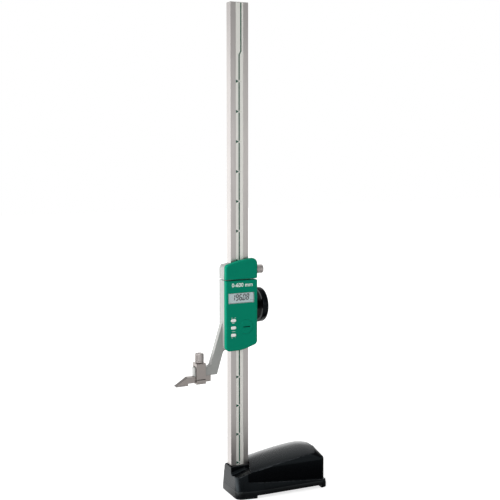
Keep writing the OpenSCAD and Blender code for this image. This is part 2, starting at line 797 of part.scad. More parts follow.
board_side = [3.5, 8];
board_up = 18.5;
board_down = 14;
board_left = -slider_left + board_side[0];
board_right = slider_right - board_side[1];
board_low = foot_z + board_up;
board_high = split_z - board_down;
module circuit_board() {
  color([0.05, 0.3, 0.15]) along_y(board_front, body_front)
    translate([board_left, board_low]) square([board_right - board_left, board_high - board_low]);
}
head_gap = 0.35;
module reading_head() {
  color([0.1, 0.12, 0.1]) box([-head_hw, body_front, head_low], [head_hw, col_front - head_gap, head_high]);
}
glass_t = 2.25;
glass_front = shell_in + seat_gap;
glass_back = glass_front + glass_t;
module display_glass() {
  color([0.55, 0.58, 0.55]) along_y(glass_front, glass_back)
    centred(lcd_x, lcd_z, lens_w - 2 * lens_gap, lens_h - 2 * lens_gap);
}
module display_window() {
  color([0.8, 0.85, 0.85, 0.4]) along_y(shell_front + lens_sink, shell_in)
    centred(lcd_x, lcd_z, lens_w - 2 * lens_gap, lens_h - 2 * lens_gap);
}
strip_t = 2;
strip_in = 8;
strip_off = 2;
module contact_strips() {
  color([0.3, 0.3, 0.32]) for (s = [-1, 1]) along_y(glass_back, board_front)
    centred(lcd_x - strip_off, lcd_z + s * (lcd_h / 2 - strip_t), lcd_w - strip_in, strip_t);
}

// Keys stand in the cover's holes, each with a rim behind the wall and a switch below
key_stand = 0.9;
key_rim_t = 1.5;
key_rim = 0.9;
key_soft = 0.4;
key_soft_in = 0.35;
key_gap = 0.1;
key_front = shell_front - key_stand;
key_rim_front = shell_in + key_gap;
key_back = key_rim_front + key_rim_t;
switch_front = key_back + key_travel + seat_gap;
switch_w = 5;
module key_switches() {
  color([0.12, 0.12, 0.12]) for (i = [-1:1]) along_y(switch_front, board_front)
    centred(key_x, keys_z + i * key_pitch, switch_w, switch_w);
}
module key(i) {
  color([0.85, 0.84, 0.78]) translate([key_x, 0, keys_z + i * key_pitch]) {
    along_y(key_front + key_soft, key_back) pill(key_w, key_h);
    along_y(key_front, key_front + key_soft) pill(key_w - 2 * key_soft_in, key_h - 2 * key_soft_in);
    along_y(key_rim_front, key_back) pill(key_w + 2 * key_rim, key_h + 2 * key_rim);
  }
}
module key_top() { key(1); }
module key_middle() { key(0); }
module key_bottom() { key(-1); }

// Battery cap with a coin slot, the cell behind it and its contact spring
coin_w = 1.7;
coin_l = 13;
coin_d = 0.9;
cap_gap = 0.05;
cell_play = 0.1;
spring_r = [6, 3];
cell_front = cap_seat + cell_play;
module battery_cap() {
  color([0.04, 0.45, 0.36]) difference() {
    union() {
      rod_y(shell_front, cap_seat - cap_gap, cap_r, cap_x, keys_z);
      translate([cap_x, shell_front, keys_z]) rotate([90, 0, 0])
        cylinder(h = cap_stand, r1 = cap_r, r2 = cap_r - cap_bevel);
    }
    along_y(shell_front - over, shell_front + coin_d) centred(cap_x, keys_z, coin_l, coin_w);
  }
}
module battery_cell() {
  color([0.75, 0.75, 0.76]) rod_y(cell_front, cell_front + cell_t, cell_r, cap_x, keys_z);
}
module battery_spring() {
  color([0.75, 0.62, 0.3]) translate([cap_x, board_front, keys_z]) rotate([90, 0, 0])
    cylinder(h = board_front - cell_front - cell_t, r1 = spring_r[0], r2 = spring_r[1]);
}

// Housing behind the column for the pinion, with a boss that guides the shaft out to the right
house_hw = 17;
house_wall = 2.5;
house_floor = 3.5;
house_rise = 27;
house_r = [7, 5];
house_back = axis_y + pinion_tip_r + house_wall;
house_low = wheel_z - pinion_tip_r - house_floor;
house_high = wheel_z + house_rise;
cavity_side = 0.5;
cavity_gap = 0.8;
cavity_hw = rack_w / 2 + cavity_side;
cavity_r = pinion_tip_r + cavity_gap;
fine_r = 2.5;
fine_off = 5.5;
fine_root = 4;
fine_rise = 30;
fine_y = axis_y + fine_off;
fine_foot = wheel_z + pinion_tip_r + fine_root;
boss_wall = 4;
boss_out_r = bush_r + boss_wall;
plate_side = 4;
plate_r = 4;
module drive_housing() {
  color([0.84, 0.84, 0.82]) difference() {
    union() {
      along_y(body_back, plate_back) polygon(rounded([
        [-slider_left + plate_side, wheel_z - housing_h, plate_r],
        [slider_right, wheel_z - housing_h, plate_r], [slider_right, wheel_z + housing_h, plate_r],
        [-slider_left + plate_side, wheel_z + housing_h, plate_r]
      ]));
      along_x(-house_hw, house_hw) polygon(rounded([
        [body_back, house_low, 0], [house_back, house_low, house_r[0]], [house_back, house_high, house_r[1]],
        [body_back, house_high, 0]
      ]));
      rod_x(house_hw - over, slider_right, boss_out_r, axis_y, wheel_z);
    }
    rod_x(-cavity_hw, cavity_hw, cavity_r, axis_y, wheel_z);
    box([-cavity_hw, 0, wheel_z - cavity_r], [cavity_hw, axis_y, wheel_z + cavity_r]);
    rod_x(-far_out, far_out, bush_r + seat_gap, axis_y, wheel_z);
    box([-far_out, -far_out, 0], [far_out, body_back, far_up]);
    rod_z(fine_foot, house_high + over, fine_r + seat_gap, 0, fine_y);
    for (p = housing_screw_at) rod_y(body_back - over, plate_back + over, screw_r + seat_gap, p[0], p[1]);
  }
}
module drive_housing_screws() {
  color([0.5, 0.5, 0.52]) for (p = housing_screw_at) screw_y(plate_back, body_back - grip, p[0], p[1]);
}
bush_lip = 1.2;
bush_lip_r = 1.5;
module bush(x0, x1) {
  difference() {
    children();
    rod_x(x0 - over, x1 + bush_lip + over, shaft_r + run_gap, axis_y, wheel_z);
  }
}
module bush_left() {
  color([0.75, 0.62, 0.3]) bush(-house_hw, -cavity_hw) rod_x(-house_hw, -cavity_hw, bush_r, axis_y, wheel_z);
}
module bush_right() {
  color([0.75, 0.62, 0.3]) bush(cavity_hw, slider_right) {
    rod_x(cavity_hw, slider_right, bush_r, axis_y, wheel_z);
    rod_x(slider_right, slider_right + bush_lip, bush_r + bush_lip_r, axis_y, wheel_z);
  }
}
module fine_screw() {
  color([0.62, 0.61, 0.6]) rod_z(fine_foot, block_z + fine_rise, fine_r, 0, fine_y);
}

// Handwheel, dished on both sides, on the end of the pinion shaft
rim_h = 7;
rim_round = 3;
rim_soft = 1.5;
hub_soft = 0.8;
dish_back = 3;
dish_front = 4;
dish_slope = 1;
hub_gap = 0.6;
rim_in_x = wheel_reach - wheel_w;
rim_r = wheel_r - rim_h;
web_in = rim_in_x + dish_back;
web_out = wheel_reach - dish_front;
hub_in = slider_right + bush_lip + hub_gap;
cap_sink = 1.5;
cap_dome = 0.8;
cap_soft = 0.6;
wheel_cap_r = hub_r - 2;
shaft_in = 0.5;
shaft_end = web_out - cap_sink;
grub_run = 4;
grub_x = hub_in + grub_run;
grub_r = 1.5;
grub_sink = 0.6;
grub_socket = 1.4;
shaft_fit = shaft_r + seat_gap / 2;
module pinion_shaft() {
  color([0.62, 0.61, 0.6]) rod_x(-house_hw + shaft_in, shaft_end, shaft_r, axis_y, wheel_z);
}
module handwheel() {
  color([0.03, 0.03, 0.032]) difference() {
    turned_x([
      [shaft_fit, hub_in, 0], [hub_r, hub_in, hub_soft], [hub_r, web_in, rim_soft], [rim_r, web_in, rim_soft],
      [rim_r, rim_in_x, rim_soft], [wheel_r, rim_in_x, rim_round], [wheel_r, wheel_reach, rim_round],
      [rim_r, wheel_reach, rim_soft], [rim_r - dish_slope, web_out, rim_soft], [shaft_fit, web_out, 0]
    ], axis_y, wheel_z);
    rod_x(shaft_end, wheel_reach, wheel_cap_r + seat_gap, axis_y, wheel_z);
    translate([grub_x, axis_y, wheel_z + over]) cylinder(h = hub_r, r = grub_r + seat_gap);
  }
}
module wheel_cap() {
  color([0.6, 0.6, 0.6]) turned_x([
    [0, shaft_end, 0], [wheel_cap_r, shaft_end, 0], [wheel_cap_r, web_out + cap_dome, cap_soft],
    [0, web_out + cap_dome, 0]
  ], axis_y, wheel_z);
}
module wheel_grub_screw() {
  grub_top = wheel_z + hub_r - grub_sink;
  color([0.35, 0.35, 0.37]) difference() {
    translate([grub_x, axis_y, wheel_z + shaft_r]) cylinder(h = grub_top - wheel_z - shaft_r, r = grub_r);
    translate([grub_x, axis_y, grub_top - grub_socket])
      cylinder(h = grub_socket + over, r = grub_r / 2, $fn = hexagon);
    rod_x(grub_x - 2 * grub_r, grub_x + 2 * grub_r, shaft_fit, axis_y, wheel_z);
  }
}

// Clamp block above the slider, with a shoe that its screw presses on the column
clamp_rise = 13;
clamp_z = block_z + clamp_rise;
shoe_gap = 0.5;
shoe_x = col_right + shoe_gap;
shoe_t = 3.4;
shoe_r = 5;
clamp_r = 3;
clamp_tip = shoe_x + shoe_t;
shoe_spare = 0.3;
module clamp_block() {
  color([0.84, 0.84, 0.82]) difference() {
    along_y(body_front, body_back) block_outline(0, 0, block_drop);
    box([col_left - slide_gap, col_front - slide_gap, 0], [col_right + slide_gap, far_out, far_up]);
    rod_x(col_right - over, clamp_tip + shoe_spare, shoe_r + run_gap, 0, clamp_z);
    rod_x(col_right, slider_right + over, clamp_r + run_gap, 0, clamp_z);
    for (p = block_screw_at) {
      rod_y(body_front - over, body_back + over, screw_r + seat_gap, p[0], p[1]);
      rod_y(body_back - sink, body_back + over, head_r + seat_gap, p[0], p[1]);
    }
    for (p = bracket_screw_at)
      rod_y(body_back - bracket_grip - hole_spare, body_back + over, screw_r + seat_gap, p[0], p[1]);
  }
}
module clamp_shoe() {
  color([0.75, 0.62, 0.3]) rod_x(shoe_x, clamp_tip, shoe_r, 0, clamp_z);
}
knob_off = 3.5;
neck_off = 0.8;
knob_soft = 0.8;
knob_in = slider_right + knob_off;
neck_in = slider_right + neck_off;
knob_l = 14.1;
neck_r = 4.6;
module clamp_screw() {
  color([0.7, 0.69, 0.68]) turned_x([
    [0, clamp_tip, 0], [clamp_r, clamp_tip, 0], [clamp_r, neck_in, 0], [neck_r, neck_in, 0],
    [neck_r, knob_in, 0], [knob_r, knob_in, knob_soft], [knob_r, knob_in + knob_l, knob_soft],
    [0, knob_in + knob_l, 0]
  ], 0, clamp_z);
}
module clamp_cover() {
  color([0.03, 0.42, 0.33]) difference() {
    shell_layers() {
      block_outline(0, 0, 0);
      block_outline(edge_soft, edge_lip / 2, 0);
      block_outline(edge_round, edge_lip, 0);
    }
    difference() {
      along_y(shell_in, body_front + over) block_outline(shell_wall, shell_wall, 0);
      for (p = block_screw_at) rod_y(shell_front, body_front, post_r, p[0], p[1]);
    }
    for (p = block_screw_at) rod_y(post_tip - post_spare, body_front + over, screw_r + seat_gap, p[0], p[1]);
  }
}
module clamp_cover_screws() {
  color([0.5, 0.5, 0.52]) for (p = block_screw_at) screw_y(body_back - sink, post_tip, p[0], p[1]);
}

// Bracket on the back of the clamp block: two ears hold the fine adjusting nut
nut_r = 9;
nut_h = 8.8;
nut_soft = 0.7;
nut_low = clamp_z - nut_h / 2;
nut_high = clamp_z + nut_h / 2;
nut_clear = 0.4;
ear_hw = 8;
ear_wall = 6;
ear_h = 20;
ear_r = 5;
ear_gap = 0.1;
ear_back = fine_y + ear_wall;
bracket_r = 2;
bracket_side = 0.5;
bracket_low = block_z + 1;
bracket_high = block_z + 24;
bracket_ear = block_z + 9;
module nut_bracket() {
  color([0.84, 0.84, 0.82]) difference() {
    union() {
      along_y(body_back, plate_back) polygon(rounded([
        [-slider_left + plate_side, bracket_low, bracket_r],
        [slider_right - bracket_side, bracket_low, bracket_r],
        [slider_right - bracket_side, bracket_ear, bracket_r], [ear_hw, bracket_high, bracket_r],
        [-slider_left + plate_side, bracket_high, bracket_r]
      ]));
      along_z(clamp_z - ear_h / 2, clamp_z + ear_h / 2) polygon(rounded([
        [-ear_hw, body_back + over, 0], [ear_hw, body_back + over, 0], [ear_hw, ear_back, ear_r],
        [-ear_hw, ear_back, ear_r]
      ]));
    }
    box([-far_out, fine_y - nut_r - nut_clear, nut_low - ear_gap], [far_out, far_out, nut_high + ear_gap]);
    rod_z(0, far_up, fine_r + slide_gap, 0, fine_y);
    for (p = bracket_screw_at) rod_y(body_back - over, plate_back + over, screw_r + seat_gap, p[0], p[1]);
  }
}
module nut_bracket_screws() {
  color([0.5, 0.5, 0.52]) for (p = bracket_screw_at)
    screw_y(plate_back, body_back - bracket_grip, p[0], p[1]);
}
module fine_nut() {
  bore = fine_r + run_gap;
  color([0.75, 0.62, 0.3]) turned_z([
    [bore, nut_low, 0], [nut_r, nut_low, nut_soft], [nut_r, nut_high, nut_soft], [bore, nut_high, 0]
  ], 0, fine_y);
}

// Scriber under the jaw, with a hard tip let into the blade
tip_x = -tip_reach;
step_x = tip_x + blade_len;
scriber_in = 0.2;
scriber_hw = arm_t / 2 - scriber_in;
bevel_run = 20.8;
tip_h = 1;
hard_h = 2.4;
hard_l = 14.4;
shank_z = reading + blade_drop;
scriber_top = jaw_z - slide_gap;
hard_run = (hard_h - tip_h) * bevel_run / (scriber_top - reading - tip_h);
hard_outline = [
  [tip_x, reading], [tip_x, reading + tip_h], [tip_x + hard_run, reading + hard_h],
  [tip_x + hard_l, reading + hard_h], [tip_x + hard_l, reading]
];
module scriber() {
  color([0.62, 0.61, 0.6]) along_y(-scriber_hw, scriber_hw) polygon([
    [tip_x + hard_l, reading], [step_x, reading], [step_x, shank_z], [tip_x + scriber_len, shank_z],
    [tip_x + scriber_len, scriber_top], [tip_x + bevel_run, scriber_top],
    [tip_x + hard_run, reading + hard_h], [tip_x + hard_l, reading + hard_h]
  ]);
}
module carbide_tip() {
  color([0.4, 0.4, 0.42]) along_y(-scriber_hw, scriber_hw) polygon(hard_outline);
}

// Stirrup round the jaw and the shank, with a groove above its lower bar, drawn up by the thumb screw
stirrup_x = -stirrup_reach;
stirrup_in = arm_t / 2 + slide_gap;
stirrup_out = stirrup_in + stirrup_wall;
stirrup_play = 1.6;
stirrup_bar = 5.6;
stirrup_floor = 2.4;
stirrup_top = jaw_top + stirrup_play + stirrup_bar;
stirrup_low = shank_z - slide_gap - stirrup_floor;
stirrup_edge = 1.5;
stirrup_foot_r = 1.2;
groove_rise = 7;
groove_h = 1;
groove_d = 0.9;
groove_z = stirrup_low + groove_rise;
thumb_r = 2.5;
module clamp_stirrup() {
  color([0.6, 0.59, 0.58]) difference() {
    along_x(stirrup_x - stirrup_l / 2, stirrup_x + stirrup_l / 2) polygon(rounded([
      [-stirrup_out, stirrup_low, stirrup_foot_r], [stirrup_out, stirrup_low, stirrup_foot_r],
      [stirrup_out, groove_z, 0], [stirrup_out - groove_d, groove_z, 0],
      [stirrup_out - groove_d, groove_z + groove_h, 0], [stirrup_out, groove_z + groove_h, 0],
      [stirrup_out, stirrup_top, stirrup_edge],
      [-stirrup_out, stirrup_top, stirrup_edge], [-stirrup_out, groove_z + groove_h, 0],
      [-stirrup_out + groove_d, groove_z + groove_h, 0], [-stirrup_out + groove_d, groove_z, 0],
      [-stirrup_out, groove_z, 0]
    ]));
    box([-far_out, -stirrup_in, shank_z - slide_gap], [far_out, stirrup_in, jaw_top + stirrup_play]);
    rod_z(0, far_up, thumb_r + run_gap, stirrup_x, 0);
  }
}
thumb_gap = 0.05;
thumb_neck_gap = 0.3;
thumb_neck_h = 0.4;
thumb_h = 15.4;
thumb_soft = 0.6;
thumb_dome = 2;
thumb_foot = jaw_top + thumb_gap;
thumb_neck = stirrup_top + thumb_neck_gap;
thumb_knob = thumb_neck + thumb_neck_h;
module thumb_screw() {
  color([0.7, 0.69, 0.68]) turned_z([
    [0, thumb_foot, 0], [thumb_r, thumb_foot, 0], [thumb_r, thumb_neck, 0], [neck_r, thumb_neck, 0],
    [neck_r, thumb_knob, 0], [knob_r, thumb_knob, thumb_soft], [knob_r, thumb_knob + thumb_h, thumb_dome],
    [0, thumb_knob + thumb_h, 0]
  ], stirrup_x, 0);
}

base_casting();
base_cover();
base_cover_screws();
column();
column_screws();
scale_tape();
drive_rack();
slider_body();
slider_gib();
gib_screws();
front_cover();
front_cover_screws();
circuit_board();
reading_head();
display_glass();
display_window();
contact_strips();
key_switches();
battery_cell();
battery_spring();
drive_housing();
drive_housing_screws();
bush_left();
bush_right();
fine_screw();
pinion();
pinion_shaft();
handwheel();
wheel_cap();
wheel_grub_screw();
clamp_block();
clamp_cover();
clamp_cover_screws();
nut_bracket();
nut_bracket_screws();
fine_nut();
clamp_shoe();
clamp_screw();
key_top();
key_middle();
key_bottom();
battery_cap();
scriber();
carbide_tip();
clamp_stirrup();
thumb_screw();
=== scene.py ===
"""Dresses the digital height gauge: detailed pieces, procedural finishes, studio light and camera.

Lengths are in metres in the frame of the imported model: X runs along the base from its nose to its heel,
Y away from whoever reads the display and Z up along the column.
"""

import json
import logging
import math
from dataclasses import dataclass, field
from enum import Enum
from typing import Callable, Iterable, Optional, Sequence

import bmesh
import bpy
from bmesh.types import BMEdge, BMesh, BMVert
from bpy.types import Material, Node, NodeSocket, NodeTree, Object
from mathutils import Matrix, Vector


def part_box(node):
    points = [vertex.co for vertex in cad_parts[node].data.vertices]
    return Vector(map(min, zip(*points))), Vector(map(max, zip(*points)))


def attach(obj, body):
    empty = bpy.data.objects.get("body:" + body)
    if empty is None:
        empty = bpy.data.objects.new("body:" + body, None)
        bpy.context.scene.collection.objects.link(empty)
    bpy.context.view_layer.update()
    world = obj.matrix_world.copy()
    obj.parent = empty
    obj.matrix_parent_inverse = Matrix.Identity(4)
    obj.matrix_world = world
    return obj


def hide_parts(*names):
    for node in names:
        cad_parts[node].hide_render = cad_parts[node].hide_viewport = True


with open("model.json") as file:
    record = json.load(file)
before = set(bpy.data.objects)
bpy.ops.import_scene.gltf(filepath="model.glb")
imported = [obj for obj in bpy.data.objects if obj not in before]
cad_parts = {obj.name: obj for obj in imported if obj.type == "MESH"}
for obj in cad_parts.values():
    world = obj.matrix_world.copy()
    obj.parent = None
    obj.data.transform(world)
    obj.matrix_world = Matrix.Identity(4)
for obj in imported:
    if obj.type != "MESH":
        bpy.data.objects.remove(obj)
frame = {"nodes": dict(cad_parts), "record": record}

LOG = logging.getLogger("height_gauge")
MM = 0.001
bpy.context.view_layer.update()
Colour = tuple[float, float, float]
Point = tuple[float, float, float]
Ramp = tuple[float, float, float, float]
Feed = NodeSocket | float | tuple[float, ...]
FACE_ON = Matrix.Rotation(math.radians(90), 4, "X")
# Distances within which points of a copied solid, a turned piece and a finished piece are one.
COPY_WELD = 0.003 * MM
TURN_WELD = 0.002 * MM
LAST_WELD = 0.0005 * MM
# Slack with which a point counts as on a ring or on a face.
ON_RING = 0.005 * MM
ON_FACE = 0.02 * MM
# Turn below which two faces are one, and turn above which the edge between them stays crisp.
FLAT = math.radians(0.5)
CRISP = math.radians(38.0)
RING_STEPS = 5
CORNER_STEPS = 7
# Values between which most of the fine grain lies, and the depth of its bump.
GRAIN_SPAN = (0.3, 0.7)
BUMP_DEPTH = 0.1 * MM
# From the noted edge times its rub to the share of it that takes the worn colour, which is wear and on some
# finishes a painted highlight.
RUB_AND_HIGHLIGHT_RAMP: Ramp = (0.30, 0.62, 0.0, 1.0)


class Grain(Enum):
    """How the fine pattern of a finish is drawn out along X, Y and Z."""

    EVEN = (1.0, 1.0, 1.0)
    UPRIGHT = (1.0, 1.0, 0.015)
    LENGTHWISE = (0.03, 1.0, 1.0)


class Mark(Enum):
    """What the edge attribute notes at a vertex: wear and painted highlight above zero, painted shade below
    it.
    """

    ROUNDING = 1.0
    RIDGE = 0.7
    # Sunk floors take painted shade.
    SHADED_FLOOR = -1.0


class Line(Enum):
    """Line that a piece is turned about, with the direction in which its profile is drawn."""

    X = ((1.0, 0.0, 0.0), (0.0, 0.0, 1.0))
    Z = ((0.0, 0.0, 1.0), (1.0, 0.0, 0.0))

    @property
    def along(self) -> Vector:
        """Direction of the line."""
        return Vector(self.value[0])

    @property
    def out(self) -> Vector:
        """Direction away from the line in the plane of the profile."""
        return Vector(self.value[1])


class Bar(Enum):
    """One bar of a seven-bar digit: middle in half widths and half heights, and whether it stands."""

    TOP = (0.0, 1.0, False)
    MIDDLE = (0.0, 0.0, False)
    FOOT = (0.0, -1.0, False)
    UPPER_LEFT = (-1.0, 0.5, True)
    UPPER_RIGHT = (1.0, 0.5, True)
    LOWER_LEFT = (-1.0, -0.5, True)
    LOWER_RIGHT = (1.0, -0.5, True)


DIGITS: dict[str, tuple[Bar, ...]] = {
    "0": (Bar.TOP, Bar.FOOT, Bar.UPPER_LEFT, Bar.UPPER_RIGHT, Bar.LOWER_LEFT, Bar.LOWER_RIGHT),
    "1": (Bar.UPPER_RIGHT, Bar.LOWER_RIGHT),
    "6": (Bar.TOP, Bar.MIDDLE, Bar.FOOT, Bar.UPPER_LEFT, Bar.LOWER_LEFT, Bar.LOWER_RIGHT),
    "8": tuple(Bar),
    "9": (Bar.TOP, Bar.MIDDLE, Bar.FOOT, Bar.UPPER_LEFT, Bar.UPPER_RIGHT, Bar.LOWER_RIGHT),
}


@dataclass(frozen=True)
class Box:
    """Box that a solid of the frame fills at rest."""

    low: Vector
    high: Vector

    @classmethod
    def of(cls, node: str) -> "Box":
        """Gives the box of a node."""
        low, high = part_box(node)
        return cls(Vector(low), Vector(high))

    @property
    def middle(self) -> Vector:
        """Middle of the box."""
        return (self.low + self.high) / 2

    @property
    def size(self) -> Vector:
        """Size of the box along X, Y and Z."""
        return self.high - self.low


@dataclass(frozen=True)
class Axle:
    """Line through a point, about which a piece is turned; stations count from the point."""

    line: Line
    middle: Vector

    def spot(self, station: float, radius: float) -> Vector:
        """Gives the point of the profile at a station and a radius."""
        return self.middle + self.line.along * station + self.line.out * radius

    def seat(self, vert: BMVert) -> tuple[float, Vector]:
        """Gives the station of a vertex, and its arm away from the line.

        Args:
            vert: The vertex.

        Returns:
            The station and the arm.
        """
        arm = vert.co - self.middle
        station = arm.dot(self.line.along)
        return station, arm - self.line.along * station


@dataclass(frozen=True)
class Finish:
    """A surface finish: linear colours, gloss, grain, wear, painted highlight and painted shade.

    The colour drifts towards the shade in broad clouds, turns to the worn colour along rounded edges,
    which is wear and on some finishes a painted highlight, and to a painted shade colour in sunk corners.
    Roughness and bump follow the fine grain.
    """

    name: str
    slot: Optional[str]
    colour: Colour
    shade: Colour
    # Colour of rubbed rounded edges: wear, and on some finishes a painted highlight.
    worn_and_highlight: Colour
    rough: float
    rough_spread: float = 0.06
    grain_scale: float = 1400.0
    grain: Grain = Grain.EVEN
    bump: float = 0.08
    # How much of the rounded edges takes that colour.
    wear_and_highlight: float = 0.5
    metallic: float = 0.0
    specular: float = 0.5
    coat: float = 0.0
    alpha: float = 1.0
    tint: Colour = (1.0, 1.0, 1.0)
    # Painted shade colour for sunk floors.
    recess_shade: Colour = (0.01, 0.01, 0.01)


BASE_IRON = Finish(
    "black_iron_paint", "base_iron", (0.0018, 0.0020, 0.0025), (0.0012, 0.0013, 0.0016),
    (0.014, 0.015, 0.017), 0.36, 0.06, 1100.0, bump=0.18, wear_and_highlight=0.35, specular=0.4, tint=(0.88, 0.96, 1.0))
# Its worn colour is a painted highlight along the rounded crest, broken up like wear.
BASE_BLACK = Finish(
    "black_satin_shell", "base_black", (0.0011, 0.0013, 0.0018), (0.0008, 0.0009, 0.0012),
    (0.045, 0.048, 0.052), 0.25, 0.05, 1700.0, bump=0.10, wear_and_highlight=0.6, specular=0.22, tint=(0.75, 0.91, 1.0))
GROUND_STEEL = Finish(
    "ground_steel", "ground_steel", (0.575, 0.545, 0.53), (0.52, 0.495, 0.48),
    (0.72, 0.70, 0.69), 0.33, 0.07, 900.0, Grain.UPRIGHT, 0.05, 0.6, metallic=1.0)
LAPPED_STEEL = Finish(
    "lapped_steel", "ground_steel", (0.43, 0.392, 0.372), (0.375, 0.342, 0.322),
    (0.60, 0.565, 0.545), 0.36, 0.08, 1000.0, Grain.LENGTHWISE, 0.06, 0.6, metallic=1.0)
TURNED_STEEL = Finish(
    "turned_steel", "ground_steel", (0.53, 0.49, 0.475), (0.47, 0.435, 0.42),
    (0.63, 0.59, 0.575), 0.46, 0.07, 1600.0, bump=0.05, wear_and_highlight=0.6, metallic=1.0)
SCREW_STEEL = Finish(
    "screw_steel", "screw_steel", (0.50, 0.50, 0.51), (0.41, 0.41, 0.42),
    (0.66, 0.66, 0.66), 0.33, 0.08, 1500.0, bump=0.06, metallic=1.0)
HARD_TIP = Finish(
    "hard_tip", "carbide", (0.43, 0.405, 0.395), (0.36, 0.34, 0.33),
    (0.56, 0.54, 0.53), 0.34, 0.07, 1300.0, Grain.LENGTHWISE, 0.05, metallic=1.0)
BRASS = Finish(
    "turned_brass", "brass", (0.68, 0.48, 0.20), (0.56, 0.38, 0.15),
    (0.82, 0.65, 0.34), 0.28, 0.08, 1500.0, bump=0.06, metallic=1.0)
TAPE = Finish(
    "scale_tape", "tape", (0.88, 0.88, 0.825), (0.83, 0.83, 0.78),
    (0.92, 0.92, 0.88), 0.42, 0.05, 1200.0, Grain.UPRIGHT, 0.02, metallic=0.5)
CREAM = Finish(
    "cream_paint", "cream", (0.345, 0.350, 0.338), (0.318, 0.325, 0.312),
    (0.60, 0.61, 0.59), 0.36, 0.06, 900.0, bump=0.12, wear_and_highlight=0.4, coat=0.1)
# Its worn colour is the lit bevel's colour, a painted highlight on rubbed rounded edges; its recess shade
# colour is painted shade in the cap slot.
GREEN = Finish(
    "green_shell", "green", (0.0022, 0.240, 0.145), (0.0018, 0.215, 0.130),
    (0.006, 0.42, 0.27), 0.40, 0.06, 1800.0, bump=0.14, wear_and_highlight=0.6, specular=0.03, recess_shade=(0.001, 0.022, 0.014))
BOARD = Finish(
    "circuit_board", "board", (0.02, 0.16, 0.07), (0.015, 0.11, 0.05),
    (0.10, 0.30, 0.18), 0.5, 0.08, 1500.0)
DARK = Finish(
    "black_moulding", "dark", (0.015, 0.015, 0.016), (0.010, 0.010, 0.011),
    (0.05, 0.05, 0.05), 0.5, 0.08, 1500.0)
DISPLAY = Finish(
    "display_glass", "display", (0.56, 0.685, 0.705), (0.51, 0.63, 0.65),
    (0.60, 0.71, 0.73), 0.30, 0.05, 2200.0, bump=0.02, wear_and_highlight=0.0)
WINDOW = Finish(
    "clear_window", "window", (0.80, 0.84, 0.84), (0.76, 0.80, 0.80),
    (0.90, 0.92, 0.92), 0.08, 0.03, 700.0, bump=0.01, wear_and_highlight=0.2, alpha=0.08)
KEY = Finish(
    "ivory_key", "key", (0.95, 0.94, 0.92), (0.91, 0.90, 0.88),
    (0.96, 0.95, 0.94), 0.34, 0.06, 1700.0, bump=0.08, wear_and_highlight=0.3)
WHEEL = Finish(
    "black_wheel", "wheel_black", (0.0022, 0.0027, 0.0036), (0.0016, 0.0019, 0.0025),
    (0.012, 0.013, 0.015), 0.12, 0.03, 1300.0, bump=0.03, wear_and_highlight=0.4, specular=0.10, tint=(0.75, 0.90, 1.0))
WHEEL_WEB = Finish(
    "black_wheel_web", "wheel_black", (0.0028, 0.0032, 0.0040), (0.0020, 0.0023, 0.0028),
    (0.012, 0.013, 0.014), 0.62, 0.08, 1300.0, bump=0.25, wear_and_highlight=0.3, specular=0.05)
RUBBER = Finish(
    "contact_rubber", "rubber", (0.05, 0.05, 0.05), (0.035, 0.035, 0.035),
    (0.09, 0.09, 0.09), 0.75, 0.08, 1300.0, bump=0.2)
TAPE_INK = Finish(
    "green_tape_ink", None, (0.003, 0.075, 0.043), (0.002, 0.062, 0.036),
    (0.02, 0.14, 0.09), 0.5, 0.06, 1500.0, bump=0.02, specular=0.2)
GREY_INK = Finish(
    "grey_tape_ink", None, (0.30, 0.31, 0.30), (0.26, 0.27, 0.26),
    (0.40, 0.40, 0.39), 0.5, 0.06, 1500.0, bump=0.02)
PALE_INK = Finish(
    "pale_key_ink", None, (0.93, 0.96, 0.94), (0.89, 0.92, 0.90),
    (0.95, 0.97, 0.96), 0.5, 0.06, 1500.0, bump=0.02)
DISPLAY_INK = Finish(
    "display_ink", None, (0.012, 0.017, 0.020), (0.009, 0.012, 0.015),
    (0.04, 0.05, 0.05), 0.4, 0.05, 1800.0, bump=0.02)
NODE_FINISHES: dict[str, Finish] = {
    f.slot: f for f in (BASE_IRON, BASE_BLACK, GROUND_STEEL, SCREW_STEEL, HARD_TIP, BRASS, TAPE, CREAM,
                        GREEN, BOARD, DARK, DISPLAY, WINDOW, KEY, WHEEL, RUBBER)
}


